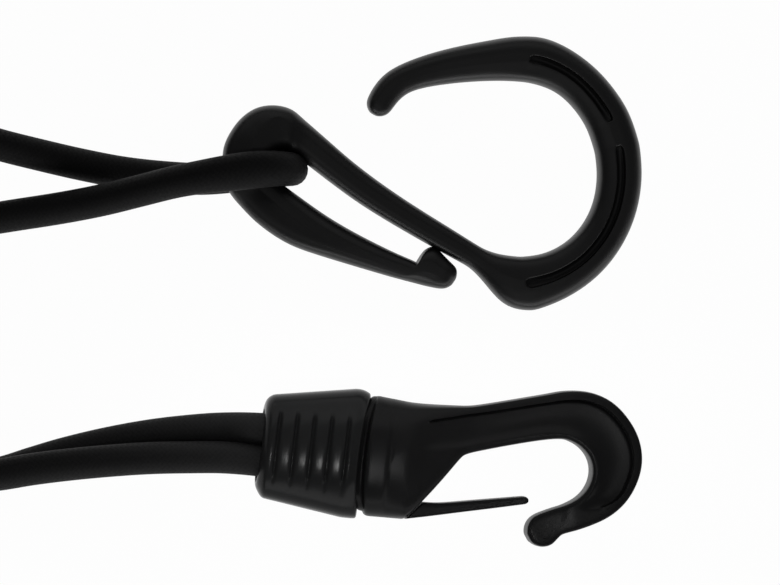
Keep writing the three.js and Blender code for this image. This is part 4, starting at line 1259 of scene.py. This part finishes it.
braid_uv = add_node(braid_group, "UVMap")
braid_uv.uv_map = "UVMap"
split = add_node(braid_group, "SeparateXYZ")
turn_phase = braid_math("MULTIPLY", split.outputs["X"], braid_in.outputs["Count"])
run_phase = braid_math("MULTIPLY", split.outputs["Y"], braid_in.outputs["Count"])
one_way, other_way = (braid_math(operation, turn_phase, run_phase) for operation in ("ADD", "SUBTRACT"))
cells = braid_math("ADD", braid_math("FLOOR", one_way), braid_math("FLOOR", other_way))
crown = add_node(braid_group, "Mix")
crown.data_type = "FLOAT"
fuzz_at = add_node(braid_group, "TexCoord")
fuzz = add_node(braid_group, "TexNoise", {"Scale": 1400.0, "Detail": 4.0})
worn = braid_math("MULTIPLY_ADD", fuzz.outputs["Fac"], FUZZ_LIGHT, LEAST_LIGHT)
# Painted shade: the colour is darker where the yarns meet and lighter on their crowns, on top of the fuzz's
# random tone.
fuzz_tone_and_painted_shade = braid_math("MULTIPLY_ADD", crown.outputs["Result"], CROWN_PAINTED_LIGHT, worn)
yarn_rough = braid_math("MULTIPLY_ADD", fuzz.outputs["Fac"], FUZZ_ROUGH, LEAST_ROUGH)
yarn_height = braid_math("MULTIPLY_ADD", fuzz.outputs["Fac"], FUZZ_HIGH, crown.outputs["Result"])
link_nodes(
    braid_group,
    (braid_uv.outputs["UV"], split.inputs[0]),
    (braid_math("PINGPONG", cells, 1.0), crown.inputs["Factor"]),
    (yarn_crown(one_way), crown.inputs["A"]),
    (yarn_crown(other_way), crown.inputs["B"]),
    (fuzz_at.outputs["Object"], fuzz.inputs["Vector"]),
    (scaled_colour(braid_group, braid_in.outputs["Yarn"], fuzz_tone_and_painted_shade), braid_out.inputs["Colour"]),
    (yarn_rough, braid_out.inputs["Roughness"]),
    (yarn_height, braid_out.inputs["Height"]),
)
print(braid_group.name, "nodes", len(braid_group.nodes))

# %% Cord finish
BRAID_STRENGTH, BRAID_DEEP, CORD_SHINE = 0.5, 0.05 * MM, 0.18
cord_black, cord_tree, cord_shader = new_material("shock_cord_black")
yarns = {"Yarn": (0.006, 0.006, 0.0062, 1), "Count": YARNS}
cord_height = grouped_finish(cord_tree, cord_shader, braid_group, yarns)
bump_into(cord_tree, cord_shader, cord_height, BRAID_STRENGTH, BRAID_DEEP)
set_inputs(cord_shader, {"Specular IOR Level": CORD_SHINE})
print(cord_black.name, "yarns", YARNS)

# %% [markdown]
# ## Finishes: the crimped ferrule
# The ferrule is a pressed aluminium sleeve. It only shows when the cap is slid back, so its CAD solid
# stays, with a brushed metal whose fine lines run round it.

# %% Ferrule metal
BRUSH_STRENGTH, METAL_ROUGH_VARIES, METAL_ROUGH_LEAST = 0.3, 0.25, 0.25
ferrule_metal, metal_tree, metal = new_material("crimped_aluminium")
set_inputs(metal, {"Metallic": 1.0})
metal_at = add_node(metal_tree, "TexCoord")
stretch = add_node(metal_tree, "Mapping", {"Scale": (9000.0, 400.0, 400.0)})
brushed = add_node(metal_tree, "TexNoise", {"Scale": 1.0, "Detail": 3.0})
tint = add_node(metal_tree, "Mix")
tint.data_type = "RGBA"
set_inputs(tint, {"A": (0.50, 0.50, 0.51, 1), "B": (0.72, 0.73, 0.74, 1)})
lines = brushed.outputs["Fac"]
metal_rough = math_node(metal_tree, "MULTIPLY_ADD", lines, METAL_ROUGH_VARIES, METAL_ROUGH_LEAST)
link_nodes(
    metal_tree,
    (metal_at.outputs["Object"], stretch.inputs["Vector"]),
    (stretch.outputs["Vector"], brushed.inputs["Vector"]),
    (lines, tint.inputs["Factor"]),
    (tint.outputs["Result"], metal.inputs["Base Color"]),
    (metal_rough, metal.inputs["Roughness"]),
)
bump_into(metal_tree, metal, lines, BRUSH_STRENGTH, GRAIN_DEEP)
print(ferrule_metal.name, "nodes", len(metal_tree.nodes))

# %% [markdown]
# ## Finishes and bodies
# Every piece now gets its finish and the body that it moves with, and the CAD node that it stands for is
# hidden. The net's own pieces stay with the net.


# %% Dress the net
def dress(piece, material):
    piece.data.materials.clear()
    piece.data.materials.append(material)


for pieces, material, slot in ((net_cords, cord_black, "shock_cord"), (clips, clip_black, "clip")):
    for node, piece in pieces.items():
        dress(piece, material)
        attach(piece, "net")
        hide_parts(node)
print("net pieces dressed", len(net_cords) + len(clips))

# %% [markdown]
# A hook rides on its own body. The latch and the gate are springs: they stay with their moulding at the
# root and go with their own body from a little further on. The legs stretch: near the clamp they stay
# with the net, and near the hook they go with the hook's body.

# %% Where springs and legs start and end to bend
HOOK_FINISH = {
    "eye_hook": (hook_black, "hook"),
    "snap_body": (snap_black, "hook"),
    "snap_cap": (cap_black, "cap"),
}
latch_root, latch_free = (open_frame @ Vector(spot) for spot in ((-3.3, -4.9, 0), (3.0, -6.4, 0)))
gate_root, gate_free = (snap_frame @ Vector(spot) for spot in ((7.4, -8.25, 0), (10.7, -7.65, 0)))
SPRINGS = (  # the springy piece, the moulding it grows from, its finish, where it starts and ends to bend
    ("eye_latch", "eye_hook", hook_black, latch_root, latch_free),
    ("snap_gate", "snap_body", snap_black, gate_root, gate_free),
)
STRETCH_FROM, EYE_STRETCH_TO, SNAP_STRETCH_TO = 163.5 * MM, 199.0 * MM, 208.0 * MM
LEGS = {  # the hook's body, where the stretch ends, the nodes that the cord stands for
    "eye_leg": ("eye_loop", EYE_STRETCH_TO, ("eye_strand_front", "eye_loop", "eye_strand_back")),
    "snap_leg_upper": ("snap_body", SNAP_STRETCH_TO, ("snap_strand_upper",)),
    "snap_leg_lower": ("snap_body", SNAP_STRETCH_TO, ("snap_strand_lower",)),
}
print("springs", len(SPRINGS), "legs", len(LEGS), "on each side")

# %% Dress the hooks and legs
for side, pieces in hooks.items():
    turn = HALF_TURN if side == "left" else Matrix.Identity(4)
    for name, (material, slot) in HOOK_FINISH.items():
        dress(pieces[name], material)
        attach(pieces[name], f"{name}_{side}")
        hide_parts(f"{name}_{side}")
    for name, holder, material, root, free in SPRINGS:
        dress(pieces[name], material)
        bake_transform(pieces[name], f"{holder}_{side}", f"{name}_{side}", start=turn @ root, end=turn @ free)
        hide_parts(f"{name}_{side}")
    for name, (pulled_by, far, nodes) in LEGS.items():
        route = [turn @ spot for spot in leg_routes[name]]
        cord = pieces[name]
        dress(cord, cord_black)
        hook_body = f"{pulled_by}_{side}"
        start, end = (turn @ Vector((x, 0, 0)) for x in (STRETCH_FROM, far))
        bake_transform(cord, "net", hook_body, start=start, end=end)
        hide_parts(*[f"{node}_{side}" for node in nodes])
    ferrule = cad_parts[f"snap_ferrule_{side}"]
    ferrule.data.materials.clear()
    ferrule.data.materials.append(ferrule_metal)
    print(side, "hook pieces dressed", len(pieces))

# %% [markdown]
# ## Floor and light
# The floor is white and wide. What looks straight at it, or sees it mirrored, finds it nearly plain
# white, and it still darkens a little where the net keeps the light away.

# %% Floor
FLOOR_SIZE = 40
PLAIN_WHITE_SHARE = 0.98
bpy.ops.object.select_all(action="DESELECT")
bpy.ops.mesh.primitive_plane_add(size=FLOOR_SIZE)
floor = bpy.context.object
floor.name = "studio_floor"
floor_white, floor_tree, floor_shader = new_material("floor_white")
floor_look = {"Base Color": (0.8, 0.8, 0.8, 1), "Roughness": 0.9, "Specular IOR Level": 0.0}
set_inputs(floor_shader, floor_look)
glow = add_node(floor_tree, "Emission", {"Color": (1, 1, 1, 1)})
seen = add_node(floor_tree, "LightPath")
looked_at = seen.outputs["Is Camera Ray"]
for ray in ("Is Glossy Ray", "Is Transmission Ray"):
    looked_at = math_node(floor_tree, "ADD", looked_at, seen.outputs[ray])
looked_at = math_node(floor_tree, "MINIMUM", looked_at, 1.0)
blend_floor = add_node(floor_tree, "MixShader")
link_nodes(
    floor_tree,
    (math_node(floor_tree, "MULTIPLY", looked_at, PLAIN_WHITE_SHARE), blend_floor.inputs["Fac"]),
    (floor_shader.outputs["BSDF"], blend_floor.inputs[1]),
    (glow.outputs["Emission"], blend_floor.inputs[2]),
    (blend_floor.outputs["Shader"], floor_tree.nodes["Material Output"].inputs["Surface"]),
)
floor.data.materials.append(floor_white)
print("floor", FLOOR_SIZE, "m wide")

# %% [markdown]
# The world is dark overhead, so black plastic that faces the camera stays black, and bright low in front.

# %% World
world = bpy.data.worlds.new("studio")
bpy.context.scene.world = world
world.use_nodes = True
sky = world.node_tree
look = add_node(sky, "TexCoord")
parts = add_node(sky, "SeparateXYZ")
ramp = add_node(sky, "ValToRGB")
RAMP_STOPS = ((0.86, (0.06, 0.06, 0.062, 1)), (1.0, (0.85, 0.85, 0.86, 1)))
FRONT_SCALE, FRONT_MIDDLE = -0.5, 0.5
for stop, (position, colour) in zip(ramp.color_ramp.elements, RAMP_STOPS):
    stop.position = position
    stop.color = colour
link_nodes(
    sky,
    (look.outputs["Generated"], parts.inputs[0]),
    (math_node(sky, "MULTIPLY_ADD", parts.outputs["Y"], FRONT_SCALE, FRONT_MIDDLE), ramp.inputs["Fac"]),
    (ramp.outputs["Color"], sky.nodes["Background"].inputs["Color"]),
)
print("world", world.name, "nodes", len(sky.nodes))

# %% [markdown]
# The main lamp is a wide softbox low in front, which lights the edges that face it. A weak one fills in
# from behind, and a small one hangs overhead. In the picture the snap hook is lit from its other side, so
# a small strip between the two hooks, which shines only towards the snap hook, lights its upper edges.
# Two narrow spots bring out the ribs of its cap and its bend.

# %% Lamps
HOOKS_AT = (0.22, 0.0, 0.0)
SPOT_BLEND, SPOT_SOFTNESS = 0.25, 0.012


def place_lamp(name, kind, spot, target, power):
    data = bpy.data.lights.new(name, kind)
    data.energy = power
    lamp = bpy.data.objects.new(name, data)
    lamp.location = spot
    lamp.rotation_euler = (Vector(target) - Vector(spot)).to_track_quat("-Z", "Y").to_euler()
    bpy.context.scene.collection.objects.link(lamp)
    print(name, "power", power)
    return data


def soft_lamp(name, spot, target, size, power):
    data = place_lamp(name, "AREA", spot, target, power)
    data.shape = "RECTANGLE"
    data.size, data.size_y = size


def spot_lamp(name, spot, target, cone, power):
    data = place_lamp(name, "SPOT", spot, target, power)
    data.spot_size = math.radians(cone)
    data.spot_blend = SPOT_BLEND
    data.shadow_soft_size = SPOT_SOFTNESS


soft_lamp("front_softbox", (0.6, -1.5, 0.5), HOOKS_AT, (3.8, 0.6), 18)
soft_lamp("back_fill", (0.22, 1.3, 1.2), HOOKS_AT, (2.4, 1.2), 4)
soft_lamp("small_overhead", (0.19, -0.33, 2.0), HOOKS_AT, (0.2, 0.16), 0.85)
soft_lamp("strip_behind_snap_hook", (0.235, 0.0025, 0.03), (0.235, -1.0, 0.03), (0.09, 0.04), 0.012)
spot_lamp("cap_spot", (0.224, -0.07, 0.3), (0.226, -0.022, 0.01), 10, 0.9)
spot_lamp("bend_spot", (0.262, -0.07, 0.3), (0.2615, -0.023, 0.01), 8, 0.75)

# %% Update the scene
bpy.context.view_layer.update()
